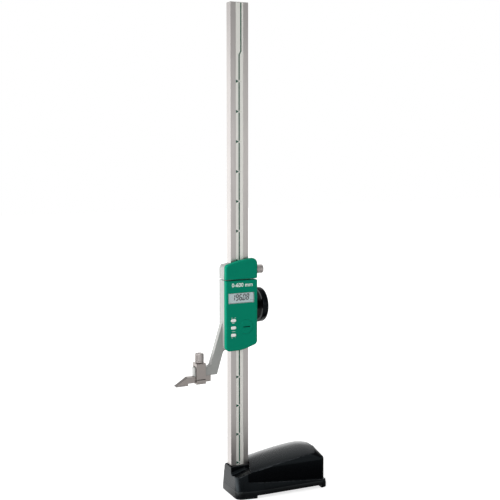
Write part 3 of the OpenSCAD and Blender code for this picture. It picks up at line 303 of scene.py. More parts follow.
class Wiring:
    """Adds nodes to a node tree and joins them up."""

    def __init__(self, tree: NodeTree) -> None:
        """Keeps the tree."""
        self.tree = tree

    def feed(self, node: Node, feeds: dict[str | int, Feed]) -> None:
        """Links or sets inputs of a node.

        Args:
            node: The node.
            feeds: What each input takes, by its name or number: a socket or a plain value.
        """
        for slot, value in feeds.items():
            if isinstance(value, NodeSocket):
                self.tree.links.new(value, node.inputs[slot])
            else:
                node.inputs[slot].default_value = value

    def node(self, kind: str, feeds: Optional[dict[str | int, Feed]] = None, **settings: object) -> Node:
        """Adds a node.

        Args:
            kind: Its type, without the leading ShaderNode.
            feeds: What its inputs take, or None.
            **settings: Its own settings.

        Returns:
            The node.
        """
        made = self.tree.nodes.new(f"ShaderNode{kind}")
        for name, value in settings.items():
            setattr(made, name, value)
        self.feed(made, feeds or {})
        return made

    def math(self, operation: str, *values: Feed) -> NodeSocket:
        """Adds a Math node and gives its result."""
        return self.node("Math", dict(enumerate(values)), operation=operation).outputs[0]

    def ramp(self, value: NodeSocket, ramp: Ramp) -> NodeSocket:
        """Adds a Map Range node, which takes a ramp's first two numbers to its last two."""
        slots = ("Value", "From Min", "From Max", "To Min", "To Max")
        return self.node("MapRange", dict(zip(slots, (value, *ramp)))).outputs["Result"]

    def product(self, *factors: tuple[NodeSocket, Ramp]) -> NodeSocket:
        """Multiplies the ramps of several values.

        Args:
            *factors: Each value with its ramp.

        Returns:
            The socket of the product.
        """
        result = self.ramp(*factors[0])
        for factor in factors[1:]:
            result = self.math("MULTIPLY", result, self.ramp(*factor))
        return result

    def blend(self, mask: NodeSocket, low: Feed, high: Colour) -> NodeSocket:
        """Blends two colours, of which the first may be a socket, by a mask."""
        start = (*low, 1.0) if isinstance(low, tuple) else low
        return self.node("Mix", {0: mask, 6: start, 7: (*high, 1.0)}, data_type="RGBA").outputs[2]


class Paintbox:
    """Builds each finish once and keeps it for every piece that wears it."""

    def __init__(self) -> None:
        """Builds the two shared effects: fine grain, and edge marks, which are wear and painted highlight
        along rounded edges and painted shade in sunk floors.
        """
        self._made: dict[str, Material] = {}
        self._grain = self._grain_group()
        self._wear_highlight_shade = self._wear_highlight_shade_group()

    @staticmethod
    def _group(name: str, inputs: dict[str, str], outputs: Sequence[str]) -> tuple[Wiring, Node, Node]:
        """Starts a node group with its sockets.

        Args:
            name: Name of the group.
            inputs: Kind of each named input.
            outputs: Names of the outputs, which are all values.

        Returns:
            The wiring of the group, its input node and its output node.
        """
        group = bpy.data.node_groups.new(name, "ShaderNodeTree")
        for socket, kind in inputs.items():
            group.interface.new_socket(socket, in_out="INPUT", socket_type=f"NodeSocket{kind}")
        for socket in outputs:
            group.interface.new_socket(socket, in_out="OUTPUT", socket_type="NodeSocketFloat")
        return Wiring(group), group.nodes.new("NodeGroupInput"), group.nodes.new("NodeGroupOutput")

    def _grain_group(self) -> NodeTree:
        """Builds the grain: a fine stretched pattern, and broad clouds for slow changes of colour.

        Returns:
            The node group.
        """
        wiring, given, result = self._group(
            "surface_grain", {"Vector": "Vector", "Stretch": "Vector", "Scale": "Float"}, ("Fine", "Cloud"))
        place, stretch, scale = given.outputs[:3]
        drawn = wiring.node("VectorMath", {0: place, 1: stretch}, operation="MULTIPLY").outputs[0]
        fine = wiring.node("TexNoise", {"Vector": drawn, "Scale": scale, "Detail": 5.0, "Roughness": 0.62})
        cloud = wiring.node("TexNoise", {"Vector": place, "Scale": 21.0, "Detail": 3.0})
        wiring.feed(result, {"Fine": fine.outputs[0], "Cloud": cloud.outputs[0]})
        return wiring.tree

    def _wear_highlight_shade_group(self) -> NodeTree:
        """Builds the edge marks: rounded edges, broken up so that they look rubbed, for wear and painted
        highlight, and painted shade in sunk corners.

        Returns:
            The node group.
        """
        wiring, given, result = self._group(
            "edge_wear_highlight_shade", {"Vector": "Vector", "Amount": "Float"}, ("Mask", "RecessShade"))
        place, amount = given.outputs[:2]
        edge = wiring.node("Attribute", attribute_name="edge").outputs["Fac"]
        rub = wiring.node("TexNoise", {"Vector": place, "Scale": 240.0, "Detail": 4.0}).outputs[0]
        rubbed_and_highlit = wiring.ramp(wiring.math("MULTIPLY", edge, rub), RUB_AND_HIGHLIGHT_RAMP)
        wiring.feed(result, {"Mask": wiring.math("MULTIPLY", rubbed_and_highlit, amount),
                             "RecessShade": wiring.ramp(edge, (0.0, Mark.SHADED_FLOOR.value, 0.0, 1.0))})
        return wiring.tree

    def material(self, finish: Finish) -> Material:
        """Gives the material of a finish, made at its first use.

        Args:
            finish: The finish.

        Returns:
            Its material.
        """
        if finish.name in self._made:
            return self._made[finish.name]
        made = bpy.data.materials.new(finish.name)
        made.use_nodes = True
        wiring = Wiring(made.node_tree)
        place = wiring.node("TexCoord").outputs["Object"]
        grain = wiring.node("Group", {"Vector": place, "Stretch": finish.grain.value,
                                      "Scale": finish.grain_scale}, node_tree=self._grain).outputs
        wear_and_highlight = wiring.node("Group", {"Vector": place, "Amount": finish.wear_and_highlight}, node_tree=self._wear_highlight_shade).outputs
        colour = wiring.blend(grain["Cloud"], finish.colour, finish.shade)
        # Rubbed edges take the worn colour: wear, and on some finishes a painted highlight.
        colour = wiring.blend(wear_and_highlight["Mask"], colour, finish.worn_and_highlight)
        rough = (*GRAIN_SPAN, finish.rough - finish.rough_spread, finish.rough + finish.rough_spread)
        bump = wiring.node("Bump", {"Strength": finish.bump, "Distance": BUMP_DEPTH, "Height": grain["Fine"]})
        wiring.feed(made.node_tree.nodes["Principled BSDF"], {
            # Sunk floors take the recess shade colour, which is painted shade.
            "Base Color": wiring.blend(wear_and_highlight["RecessShade"], colour, finish.recess_shade),
            "Roughness": wiring.ramp(grain["Fine"], rough), "Normal": bump.outputs["Normal"],
            "Metallic": finish.metallic, "Specular IOR Level": finish.specular,
            "Specular Tint": (*finish.tint, 1.0), "Coat Weight": finish.coat, "Alpha": finish.alpha})
        self._made[finish.name] = made
        return made

    def dress(self, piece: Object, finish: Finish) -> None:
        """Puts a finish on every material slot of a piece.

        Args:
            piece: The piece, or a node of the frame.
            finish: Its finish.
        """
        if not piece.material_slots:
            piece.data.materials.append(None)
        for slot in piece.material_slots:
            slot.material = self.material(finish)


class Blank:
    """A piece in the making: one mesh and the operators that shape it."""

    def __init__(self, node: Optional[str] = None) -> None:
        """Starts empty, or from a merged copy of a solid.

        Args:
            node: Node whose solid is copied, or None.
        """
        self.bm: BMesh = bmesh.new()
        if node is not None:
            self.bm.from_mesh(frame["nodes"][node].data)
        self.note = self.bm.verts.layers.float.new("edge")
        if node is not None:
            self._weld(COPY_WELD)
            bmesh.ops.dissolve_limit(self.bm, angle_limit=FLAT, use_dissolve_boundaries=False,
                                     verts=self.bm.verts, edges=self.bm.edges)

    def _weld(self, distance: float) -> None:
        """Merges the vertices that lie within a distance of each other."""
        bmesh.ops.remove_doubles(self.bm, verts=self.bm.verts, dist=distance)

    def _bevel(self, edges: Iterable[BMEdge], width: float, segments: int) -> dict[str, list]:
        """Bevels edges to a round profile, and gives what that made."""
        return bmesh.ops.bevel(
            self.bm, geom=list(edges), offset=width, offset_type="OFFSET", segments=segments, profile=0.5,
            affect="EDGES", clamp_overlap=False, material=-1, loop_slide=True)

    def hard_edges(self, angle: float = 30.0, shortest: float = 0.5 * MM,
                   keep: Optional[Callable[[BMEdge], bool]] = None) -> list[BMEdge]:
        """Finds the outward hard edges.

        Args:
            angle: Smallest turn across the edge, in degrees.
            shortest: Shortest edge that counts, which leaves the rims of small holes out.
            keep: Further test of an edge, or None.

        Returns:
            The edges.
        """
        return [e for e in self.bm.edges
                if e.is_manifold and e.is_convex and e.calc_face_angle() > math.radians(angle)
                and e.calc_length() > shortest and (keep is None or keep(e))]

    def round_edges(self, edges: Iterable[BMEdge], width: float, segments: int = 2) -> None:
        """Rounds edges, and notes the middle of each rounding for the wear and painted highlight.

        Args:
            edges: Edges to round.
            width: How far the rounding reaches on to each face.
            segments: Steps of the rounding.
        """
        strip = set(self._bevel(edges, width, segments)["faces"])
        for vert in {v for face in strip for v in face.verts}:
            if strip.issuperset(vert.link_faces):
                vert[self.note] = Mark.ROUNDING.value

    def turn(self, profile: Sequence[tuple[float, float, float]], axle: Axle, steps: int,
             closed: bool = False) -> None:
        """Turns a side profile into a round piece and rounds its rings.

        Args:
            profile: Corners as station, radius and rounding.
            axle: What the profile turns about.
            steps: Facets round the piece.
            closed: Whether the profile joins up, as round a bore.
        """
        corners = [self.bm.verts.new(axle.spot(station, radius)) for station, radius, _ in profile]
        pairs = list(zip(corners, corners[1:])) + ([(corners[-1], corners[0])] if closed else [])
        edges = [self.bm.edges.new(pair) for pair in pairs]
        bmesh.ops.spin(self.bm, geom=corners + edges, cent=axle.middle, axis=axle.line.along,
                       dvec=(0.0, 0.0, 0.0), angle=math.tau, steps=steps, use_merge=True,
                       use_normal_flip=False, use_duplicate=False)
        self._weld(TURN_WELD)
        bmesh.ops.recalc_face_normals(self.bm, faces=self.bm.faces)
        for station, radius, rounding in profile:
            if rounding:
                self.round_edges(self._ring(axle, station, radius), rounding, RING_STEPS)

    def _ring(self, axle: Axle, station: float, radius: float) -> list[BMEdge]:
        """Finds the ring of edges at a station and radius of a turned piece.

        Args:
            axle: What the piece is turned about.
            station: Distance along it.
            radius: Distance from it.

        Returns:
            The edges of the ring.
        """
        def on_ring(vert: BMVert) -> bool:
            """Tells whether a vertex lies on the ring."""
            at, arm = axle.seat(vert)
            return abs(at - station) < ON_RING and abs(arm.length - radius) < ON_RING
        return [e for e in self.bm.edges if all(on_ring(v) for v in e.verts)]

    def knurl(self, axle: Axle, radius: float, low: float, high: float, depth: float, steps: int) -> None:
        """Sinks every second row of a turned face, which leaves ridges along it.

        Args:
            axle: What the piece is turned about.
            radius: Radius of the turned face.
            low: First station of the ridges.
            high: Last station of the ridges.
            depth: Depth of the grooves.
            steps: Facets round the piece.
        """
        out = axle.line.out
        side = axle.line.along.cross(out)
        for vert in self.bm.verts:
            station, arm = axle.seat(vert)
            if abs(arm.length - radius) > ON_FACE or not low <= station <= high:
                continue
            row = round(math.atan2(arm.dot(side), arm.dot(out)) / math.tau * steps)
            if row % 2:
                vert.co -= arm.normalized() * depth
            else:
                vert[self.note] = Mark.RIDGE.value

    def sink(self, verts: Sequence[BMVert], move: Vector) -> None:
        """Moves the floor of a recess deeper, and notes it for painted shade.

        Args:
            verts: Vertices of the floor.
            move: How far and which way the floor goes.
        """
        for vert in verts:
            vert.co += move
            # The noted floor takes painted shade.
            vert[self.note] = Mark.SHADED_FLOOR.value

    def slab(self, width: float, height: float, depth: float, x: float, y: float,
             corner: float = 0.0) -> list[BMVert]:
        """Adds a flat slab that faces the viewer, with round corners.

        Args:
            width: Size along local X.
            height: Size along local Y.
            depth: Thickness towards the viewer.
            x: Middle along local X.
            y: Middle along local Y.
            corner: Radius of the corners.

        Returns:
            The vertices of its front face.
        """
        half = depth / 2
        place = Matrix.Translation((x, y, half)) @ Matrix.Diagonal((width, height, depth, 1.0))
        verts = bmesh.ops.create_cube(self.bm, size=1.0, matrix=place)["verts"]
        if corner:
            upright = {e for v in verts for e in v.link_edges
                       if abs(e.verts[0].co.z - e.verts[1].co.z) > half}
            verts = self._bevel(upright, corner, CORNER_STEPS)["verts"]
        return [v for v in verts if v.co.z > half]

    def disc(self, sides: int, radius: float, depth: float, place: Matrix) -> list[BMVert]:
        """Adds a flat prism, such as a dot, a triangle or the hexagon of a bar.

        Args:
            sides: Corners of its outline.
            radius: Distance of the corners from its middle.
            depth: Thickness towards the viewer.
            place: Where it goes in the local plane.

        Returns:
            Its vertices.
        """
        outline = bmesh.ops.create_circle(self.bm, cap_ends=True, radius=radius, segments=sides,
                                          matrix=place)["verts"]
        face = outline[0].link_faces[0]
        raised = bmesh.ops.extrude_face_region(self.bm, geom=[face], use_keep_orig=True)["geom"]
        top = [v for v in raised if isinstance(v, BMVert)]
        bmesh.ops.translate(self.bm, verts=top, vec=(0.0, 0.0, depth))
        return outline + top

    def lettering(self, words: str, size: float, depth: float, x: float, y: float,
                  weight: float = 0.0) -> None:
        """Adds plain raised lettering in the local plane.

        Args:
            words: The letters.
            size: Height of the type.
            depth: Thickness towards the viewer.
            x: Middle along local X.
            y: Middle along local Y.
            weight: How far the strokes are thickened.
        """
        curve = bpy.data.curves.new("lettering", "FONT")
        curve.body, curve.size, curve.extrude, curve.offset = words, size, depth / 2, weight
        curve.align_x, curve.align_y, curve.resolution_u = "CENTER", "CENTER", 2
        carrier = bpy.data.objects.new("lettering", curve)
        bpy.context.scene.collection.objects.link(carrier)
        drawn = bpy.data.meshes.new_from_object(carrier.evaluated_get(bpy.context.evaluated_depsgraph_get()))
        drawn.transform(Matrix.Translation((x, y, depth / 2)))
        self.bm.from_mesh(drawn)
        bpy.data.objects.remove(carrier)
        bpy.data.curves.remove(curve)
        bpy.data.meshes.remove(drawn)

    def face_viewer(self, depth_y: float) -> None:
        """Stands the local plane upright, facing along -Y, with its zero at a depth."""
        stand = Matrix.Translation((0.0, depth_y, 0.0)) @ FACE_ON
        bmesh.ops.transform(self.bm, matrix=stand, verts=self.bm.verts)

    def settle(self) -> None:
        """Merges doubles, points the faces outwards and marks the hard edges."""
        self._weld(LAST_WELD)
        bmesh.ops.dissolve_degenerate(self.bm, dist=LAST_WELD, edges=self.bm.edges)
        bmesh.ops.recalc_face_normals(self.bm, faces=self.bm.faces)
        for face in self.bm.faces:
            face.smooth = True
        for edge in self.bm.edges:
            edge.smooth = edge.is_manifold and edge.calc_face_angle() < CRISP


class Bench:
    """Turns blanks into dressed pieces that ride on the bodies of the frame."""

    def __init__(self, paint: Paintbox) -> None:
        """Keeps the paintbox that dresses the pieces."""
        self.paint = paint

    def place(self, name: str, blank: Blank, body: str, finish: Finish, *replaces: str) -> None:
        """Makes a piece of a blank, dresses it and lets it ride.

        Args:
            name: Name of the piece.
            blank: Its mesh in the making, which is used up.
            body: Body that it moves with.
            finish: Its finish.
            *replaces: Nodes that it stands for.
        """
        blank.settle()
        mesh = bpy.data.meshes.new(name)
        blank.bm.to_mesh(mesh)
        blank.bm.free()
        if "custom_normal" in mesh.attributes:
            mesh.attributes.remove(mesh.attributes["custom_normal"])
        mesh.materials.clear()
        piece = bpy.data.objects.new(name, mesh)
        bpy.context.scene.collection.objects.link(piece)
        even = piece.modifiers.new("even_shading", "WEIGHTED_NORMAL")
        even.keep_sharp = True
        self.paint.dress(piece, finish)
        if replaces:
            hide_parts(*replaces)
        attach(piece, body)
        LOG.info("%s: %d faces, rides on %s", name, len(mesh.polygons), body)

    def soften(self, node: str, body: str, finish: Finish, width: float, **pick: object) -> None:
        """Replaces a node by a copy with rounded edges.

        Args:
            node: Node that is copied.
            body: Body that it moves with.
            finish: Its finish.
            width: Width of the rounding.
            **pick: Which edges are rounded, as for Blank.hard_edges.
        """
        blank = Blank(node)
        blank.round_edges(blank.hard_edges(**pick), width)
        self.place(f"{node}_piece", blank, body, finish, node)

    def dress_nodes(self) -> None:
        """Puts its slot's finish on every node that still shows."""
        for part in frame["record"]["subparts"]:
            piece = frame["nodes"][part["node"]]
            if not piece.hide_render:
                self.paint.dress(piece, NODE_FINISHES[part["material_slot"]])
                LOG.info("%s: node in %s", part["node"], part["material_slot"])


@dataclass
class Base:
    """Black base: the crowned shell and the iron sole under it."""

    shell_round: float = 1.3 * MM
    shell_steps: int = 3
    shell_crease: float = 22.0
    shell_foot: float = 13.5 * MM
    upper_rise: float = 0.3
    lower_rise: float = -0.2
    sole_round: float = 0.6 * MM
    sole_edge: float = 0.8 * MM

    def build(self, bench: Bench) -> None:
        """Builds the shell and the sole.

        Args:
            bench: Where pieces are made and dressed.
        """
        shell = Blank("base_cover")
        # The rounded crest takes the worn colour, which on this shell is a painted highlight.
        creases = shell.hard_edges(self.shell_crease, 0.0, self._on_top)
        shell.round_edges(creases, self.shell_round, self.shell_steps)
        bench.place("base_shell", shell, "base", BASE_BLACK, "base_cover")
        bench.soften("base_casting", "base", BASE_IRON, self.sole_round, shortest=self.sole_edge)

    def _on_top(self, edge: BMEdge) -> bool:
        """Tells whether an edge bounds an upward face of the shell, above its foot.

        Args:
            edge: The edge.

        Returns:
            Whether it does.
        """
        lower, upper = sorted(f.normal.z for f in edge.link_faces)
        upward = upper > self.upper_rise and lower > self.lower_rise
        return upward and min(v.co.z for v in edge.verts) > self.shell_foot


@dataclass
class Column:
    """Ground column with its printed scale tape."""

    edge_round: float = 0.35 * MM
    ink: float = 0.03 * MM
    line_w: float = 2.3 * MM
    line_x: float = -0.5 * MM
    line_gap: float = 0.3 * MM
    jog_x: float = 2.7 * MM
    jog_low: float = 746.0 * MM
    jog_high: float = 751.5 * MM
    mark_pitch: float = 50.0 * MM
    mark_lift: float = 2.2 * MM
    marks: range = range(1, 15)
    mark_gap: float = 1.5 * MM
    pointer_left: float = -6.3 * MM
    pointer_l: float = 5.4 * MM
    pointer_w: float = 5.4 * MM
    dot_r: float = 0.75 * MM
    dot_sides: int = 20
    far_dot_r: float = 0.55 * MM
    far_dot_sides: int = 16
    far_dot_x: float = 2.6 * MM

    def build(self, bench: Bench) -> None:
        """Builds the bar and the print on the tape.

        Args:
            bench: Where pieces are made and dressed.
        """
        bench.soften("column", "base", GROUND_STEEL, self.edge_round)
        tape = Box.of("scale_tape")
        for name, blank, finish in (("tape_print", self._line(tape), TAPE_INK),
                                    ("tape_points", self._points(), GREY_INK)):
            blank.face_viewer(tape.low.y)
            bench.place(name, blank, "base", finish)

    def _heights(self) -> list[float]:
        """Gives the heights of the marks."""
        return [self.mark_pitch * i + self.mark_lift for i in self.marks]

    def _line(self, tape: Box) -> Blank:
        """Draws the green line with its jog, and a pointer at each mark.

        Args:
            tape: Box of the tape.

        Returns:
            The blank of the print.
        """
        blank = Blank()
        feet = [tape.low.z + self.line_gap] + [z + self.mark_gap for z in self._heights()]
        heads = [z - self.mark_gap for z in self._heights()] + [self.jog_low]
        for foot, head in zip(feet, heads):
            if head > foot:
                blank.slab(self.line_w, head - foot, self.ink, self.line_x, (head + foot) / 2)
        top = tape.high.z - self.line_gap
        blank.slab(self.line_w, top - self.jog_high, self.ink, self.jog_x, (top + self.jog_high) / 2)
        before = set(blank.bm.verts)
        middle = (self.jog_high + self.jog_low) / 2
        blank.slab(self.line_w, self.jog_high - self.jog_low, self.ink, self.line_x, middle)
        upper = [v for v in blank.bm.verts if v not in before and v.co.y > middle]
        bmesh.ops.translate(blank.bm, verts=upper, vec=(self.jog_x - self.line_x, 0.0, 0.0))
        # A triangle with corners at radius 1 is 1.5 long and the square root of 3 wide.
        point_right = Matrix.Rotation(math.radians(-90), 4, "Z")
        stretch = Matrix.Diagonal((self.pointer_w / math.sqrt(3), self.pointer_l / 1.5, 1.0, 1.0))
        for z in self._heights():
            place = Matrix.Translation((self.pointer_left + self.pointer_l / 3, z, 0.0))
            blank.disc(3, 1.0, self.ink, place @ point_right @ stretch)
        return blank

    def _points(self) -> Blank:
        """Draws a grey point on the line at each mark, and a smaller one beside it.

        Returns:
            The blank of the print.
        """
        blank = Blank()
        for z in self._heights():
            for sides, radius, x in ((self.dot_sides, self.dot_r, self.line_x),
                                     (self.far_dot_sides, self.far_dot_r, self.far_dot_x)):
                blank.disc(sides, radius, self.ink, Matrix.Translation((x, z, 0.0)))
        return blank


@dataclass
class Slider:
    """Cream slider with the arm, its green shell and the display."""

    body_round: float = 0.5 * MM
    shell_round: float = 0.3 * MM
    housing_round: float = 0.6 * MM
    shell_front: float = -20.5 * MM
    glass_rim: float = 1.4 * MM
    # Width of the dark printed frame, which is painted shade at the window's inner edges.
    shade_frame_w: float = 0.55 * MM
    reading: str = "196.08"
    digit_x: float = -15.8 * MM
    digit_lift: float = 1.1 * MM
    digit_pitch: float = 6.5 * MM
    digit_w: float = 3.7 * MM
    digit_h: float = 9.4 * MM
    bar_w: float = 2.0 * MM
    bar_gap: float = 0.2 * MM
    slant: float = 0.12
    ink: float = 0.03 * MM
    unit_words: str = "mm"
    unit_size: float = 3.2 * MM
    unit_x: float = 19.4 * MM
    unit_z: float = -4.6 * MM
    label_size: float = 2.1 * MM
    label_pair: float = 2.7 * MM
    label_off: float = 4.2 * MM
    range_words: str = "0-600 mm"
    range_size: float = 9.4 * MM
    range_weight: float = 0.12 * MM
    range_x: float = 1.5 * MM
    range_z: float = 22.0 * MM

    def build(self, bench: Bench) -> None:
        """Builds the casting, the shell, the gear housing and the prints.

        Args:
            bench: Where pieces are made and dressed.
        """
        bench.soften("slider_body", "slider", CREAM, self.body_round)
        bench.soften("front_cover", "slider", GREEN, self.shell_round)
        bench.soften("drive_housing", "slider", CREAM, self.housing_round)
        bench.place("display_print", self._display_print(), "slider", DISPLAY_INK)
        bench.place("key_labels", self._key_labels(), "slider", PALE_INK)

    def _display_print(self) -> Blank:
        """Draws the digits, the unit and a dark printed frame round them, which paints the shade at the
        window's inner edges.

        Returns:
            The blank of the print.
        """
        glass = Box.of("display_glass")
        x, z = glass.middle.x, glass.middle.z
        blank = Blank()
        place = 0
        for sign in self.reading:
            if sign == ".":
                blank.slab(self.bar_w, self.bar_w, self.ink, self.digit_x + (place - 0.5) * self.digit_pitch,
                           -self.digit_h / 2, self.bar_w / 4)
                continue
            for bar in DIGITS[sign]:
                self._bar(blank, bar, self.digit_x + place * self.digit_pitch)
            place += 1
        lean = Matrix.Identity(4)
        lean[0][1] = self.slant
        seat = Matrix.Translation((0.0, z + self.digit_lift, 0.0))
        bmesh.ops.transform(blank.bm, matrix=seat @ lean, verts=blank.bm.verts)
        blank.lettering(self.unit_words, self.unit_size, self.ink, x + self.unit_x, z + self.unit_z)
        wide = glass.size.x - 2 * self.glass_rim
        high = glass.size.z - 2 * self.glass_rim
        across, up = (wide - self.shade_frame_w) / 2, (high - self.shade_frame_w) / 2
        # The dark frame is painted shade along the inner edges of the window.
        for side in (-1, 1):
            blank.slab(self.shade_frame_w, high, self.ink, x + side * across, z)
            blank.slab(wide - 2 * self.shade_frame_w, self.shade_frame_w, self.ink, x, z + side * up)
        blank.face_viewer(glass.low.y)
        return blank

    def _bar(self, blank: Blank, bar: Bar, x: float) -> None:
        """Adds one pointed bar of a digit.

        Args:
            blank: Print that it joins.
            bar: Which bar.
            x: Middle of the digit.
        """
        across, up, stands = bar.value
        length = (self.digit_h / 2 if stands else self.digit_w) - self.bar_gap
        radius = self.bar_w / math.sqrt(3)
        verts = blank.disc(6, radius, self.ink, Matrix.Identity(4))
        for side in (-1, 1):
            end = [v for v in verts if v.co.y * side > 0]
            bmesh.ops.translate(blank.bm, verts=end, vec=(0.0, side * (length / 2 - radius), 0.0))
        turn = Matrix.Identity(4) if stands else Matrix.Rotation(math.radians(90), 4, "Z")
        seat = Matrix.Translation((x + across * self.digit_w / 2, up * self.digit_h / 2, 0.0))
        bmesh.ops.transform(blank.bm, matrix=seat @ turn, verts=verts)

    def _key_labels(self) -> Blank:
        """Letters the plain names of the keys and the measuring range on the shell.

        Returns:
            The blank of the print.
        """
        blank = Blank()
        glass = Box.of("display_glass").middle
        top, middle, foot = (Box.of(node).middle for node in ("key_top", "key_middle", "key_bottom"))
        pairs = {("ON", "OFF"): top.z + self.label_off, ("mm", "in"): foot.z - self.label_off}
        for words, z in pairs.items():
            for word, side in zip(words, (-1, 1)):
                blank.lettering(word, self.label_size, self.ink, top.x + side * self.label_pair, z)
        for word, z in (("ZERO", top.z - self.label_off), ("HOLD", (middle.z + foot.z) / 2)):
            blank.lettering(word, self.label_size, self.ink, top.x, z)
        blank.lettering(self.range_words, self.range_size, self.ink, glass.x + self.range_x,
                        glass.z + self.range_z, self.range_weight)
        blank.face_viewer(self.shell_front)
        return blank


@dataclass
class Keys:
    """Three ivory keys and the battery cap."""

    nodes: tuple[str, ...] = ("key_top", "key_middle", "key_bottom")
    slack: float = 0.05 * MM
    dome: float = 0.2 * MM
    cushion: float = 0.8 * MM
    cushion_steps: int = 3
    crown: float = 0.9 * MM
    rim: float = 1.8 * MM
    rim_depth: float = 1.5 * MM
    end_share: float = 0.49
    cap_round: float = 0.25 * MM
    cap_face_r: float = 8.2 * MM
    cap_sink: float = 0.15 * MM
    cap_stand: float = 0.8 * MM
    slot_reach: float = 8.0 * MM
    slot_d: float = 1.7 * MM
    slot_sink: float = 0.7 * MM

    def build(self, bench: Bench) -> None:
        """Builds the keys and the cap.

        Args:
            bench: Where pieces are made and dressed.
        """
        for node in self.nodes:
            bench.place(f"{node}_piece", self._key(Box.of(node)), node, KEY, node)
        cap = self._cap(Box.of("battery_cap"))
        bench.place("battery_cap_piece", cap, "battery_cap", GREEN, "battery_cap")

    def _cap(self, box: Box) -> Blank:
        """Shapes the battery cap: a sloped border round a small front face, and a deep slot with painted
        shade on its floor.

        Args:
            box: Box of the cap.

        Returns:
            The blank of the cap.
        """
        blank = Blank("battery_cap")
        floor = []
        for vert in blank.bm.verts:
            depth = vert.co.y - box.low.y
            arm = Vector((vert.co.x - box.middle.x, 0.0, vert.co.z - box.middle.z))
            if arm.length < self.slot_reach:
                if abs(depth - self.slot_d) < self.slack:
                    floor.append(vert)
            elif depth < self.slack:
                vert.co -= arm * (1.0 - self.cap_face_r / arm.length)
            elif abs(depth - self.cap_stand) < self.slack:
                vert.co.y += self.cap_sink
        # The slot floor is darkened with painted shade.
        blank.sink(floor, Vector((0.0, self.slot_sink, 0.0)))
        back = box.high.y - self.slack
        edges = blank.hard_edges(keep=lambda e: max(v.co.y for v in e.verts) < back)
        blank.round_edges(edges, self.cap_round)
        return blank

    def _key(self, box: Box) -> Blank:
        """Shapes one key: a round-ended cushion on a thin rim.

        Args:
            box: Box of the key.

        Returns:
            The blank of the key.
        """
        blank = Blank()
        x, z = box.middle.x, box.middle.z
        wide, high = box.size.x - self.rim, box.size.z - self.rim
        front = blank.slab(wide, high, box.size.y - self.dome, x, z, self.end_share * high)
        top = max((f for v in front for f in v.link_faces), key=lambda f: f.calc_center_median().z)
        blank.round_edges(top.edges, self.cushion, self.cushion_steps)
        top = max(blank.bm.faces, key=lambda f: f.calc_center_median().z)
        bmesh.ops.inset_region(blank.bm, faces=[top], thickness=self.crown, depth=0.0)
        bmesh.ops.translate(blank.bm, verts=list(top.verts), vec=(0.0, 0.0, self.dome))
        blank.slab(box.size.x, box.size.z, self.rim_depth, x, z, self.end_share * box.size.z)
        blank.face_viewer(box.high.y)
        return blank


@dataclass
class Handwheel:
    """Black dished handwheel on the pinion shaft, with its bright cap."""

    skin: float = 0.02 * MM
    rim_w: float = 12.0 * MM
    rim_h: float = 7.0 * MM
    bore: float = 3.025 * MM
    hub_r: float = 8.0 * MM
    hub_round: float = 0.7 * MM
    dish_back: float = 3.0 * MM
    dish_front: float = 4.0 * MM
    dish_slope: float = 1.0 * MM
    cap_sink: float = 1.5 * MM
    cap_r: float = 6.0 * MM
    cap_flat: float = 3.6 * MM
    cap_gap: float = 0.05 * MM
    cap_step: float = 0.4 * MM
    cap_dome: float = 0.78 * MM
    round_in: float = 1.6 * MM
    round_out: float = 5.0 * MM
    tyre_h: float = 5.8 * MM
    core_in: float = 5.1 * MM
    soft: float = 1.2 * MM
    fine: float = 0.35 * MM
    steps: int = 128

    def build(self, bench: Bench) -> None:
        """Builds the wheel as a dull core and a glossy tyre, and its cap.

        Args:
            bench: Where pieces are made and dressed.
        """
        box = Box.of("handwheel")
        axle = Axle(Line.X, Vector((0.0, box.middle.y, box.middle.z)))
        wheel_r = box.size.z / 2 - self.skin
        rim_r = wheel_r - self.rim_h
        hub_in, rim_out = box.low.x, box.high.x
        rim_in = rim_out - self.rim_w
        web_in, web_out = rim_in + self.dish_back, rim_out - self.dish_front
        seat, cap_hole = web_out - self.cap_sink, self.cap_r + self.cap_gap
        core_r, tyre_in = wheel_r - self.core_in, wheel_r - self.tyre_h
        core_low, core_high = rim_in - self.skin, rim_out - self.skin
        core = Blank()
        core.turn([
            (hub_in, self.bore, 0.0), (hub_in, self.hub_r, self.hub_round), (web_in, self.hub_r, self.soft),
            (web_in, rim_r, self.soft), (core_low, rim_r, self.soft), (core_low, core_r, 0.0),
            (core_high, core_r, 0.0), (core_high, rim_r, self.soft),
            (web_out, rim_r - self.dish_slope, self.soft), (web_out, cap_hole, self.fine),
            (seat, cap_hole, 0.0), (seat, self.bore, 0.0)], axle, self.steps, closed=True)
        bench.place("handwheel_core", core, "handwheel", WHEEL_WEB, "handwheel")
        tyre = Blank()
        tyre.turn([
            (rim_in, tyre_in, 0.0), (rim_in, wheel_r, self.round_in), (rim_out, wheel_r, self.round_out),
            (rim_out, tyre_in, 0.0)], axle, self.steps, closed=True)
        bench.place("handwheel_tyre", tyre, "handwheel", WHEEL)
        cap = Blank()
        edge, crown = web_out + self.cap_step, web_out + self.cap_dome
        cap.turn([
            (seat, 0.0, 0.0), (seat, self.cap_r, 0.0), (edge, self.cap_r, self.fine),
            (crown - self.cap_gap, self.cap_flat, 0.0), (crown, 0.0, 0.0)], axle, self.steps // 2)
        bench.place("wheel_cap_piece", cap, "handwheel", TURNED_STEEL, "wheel_cap")


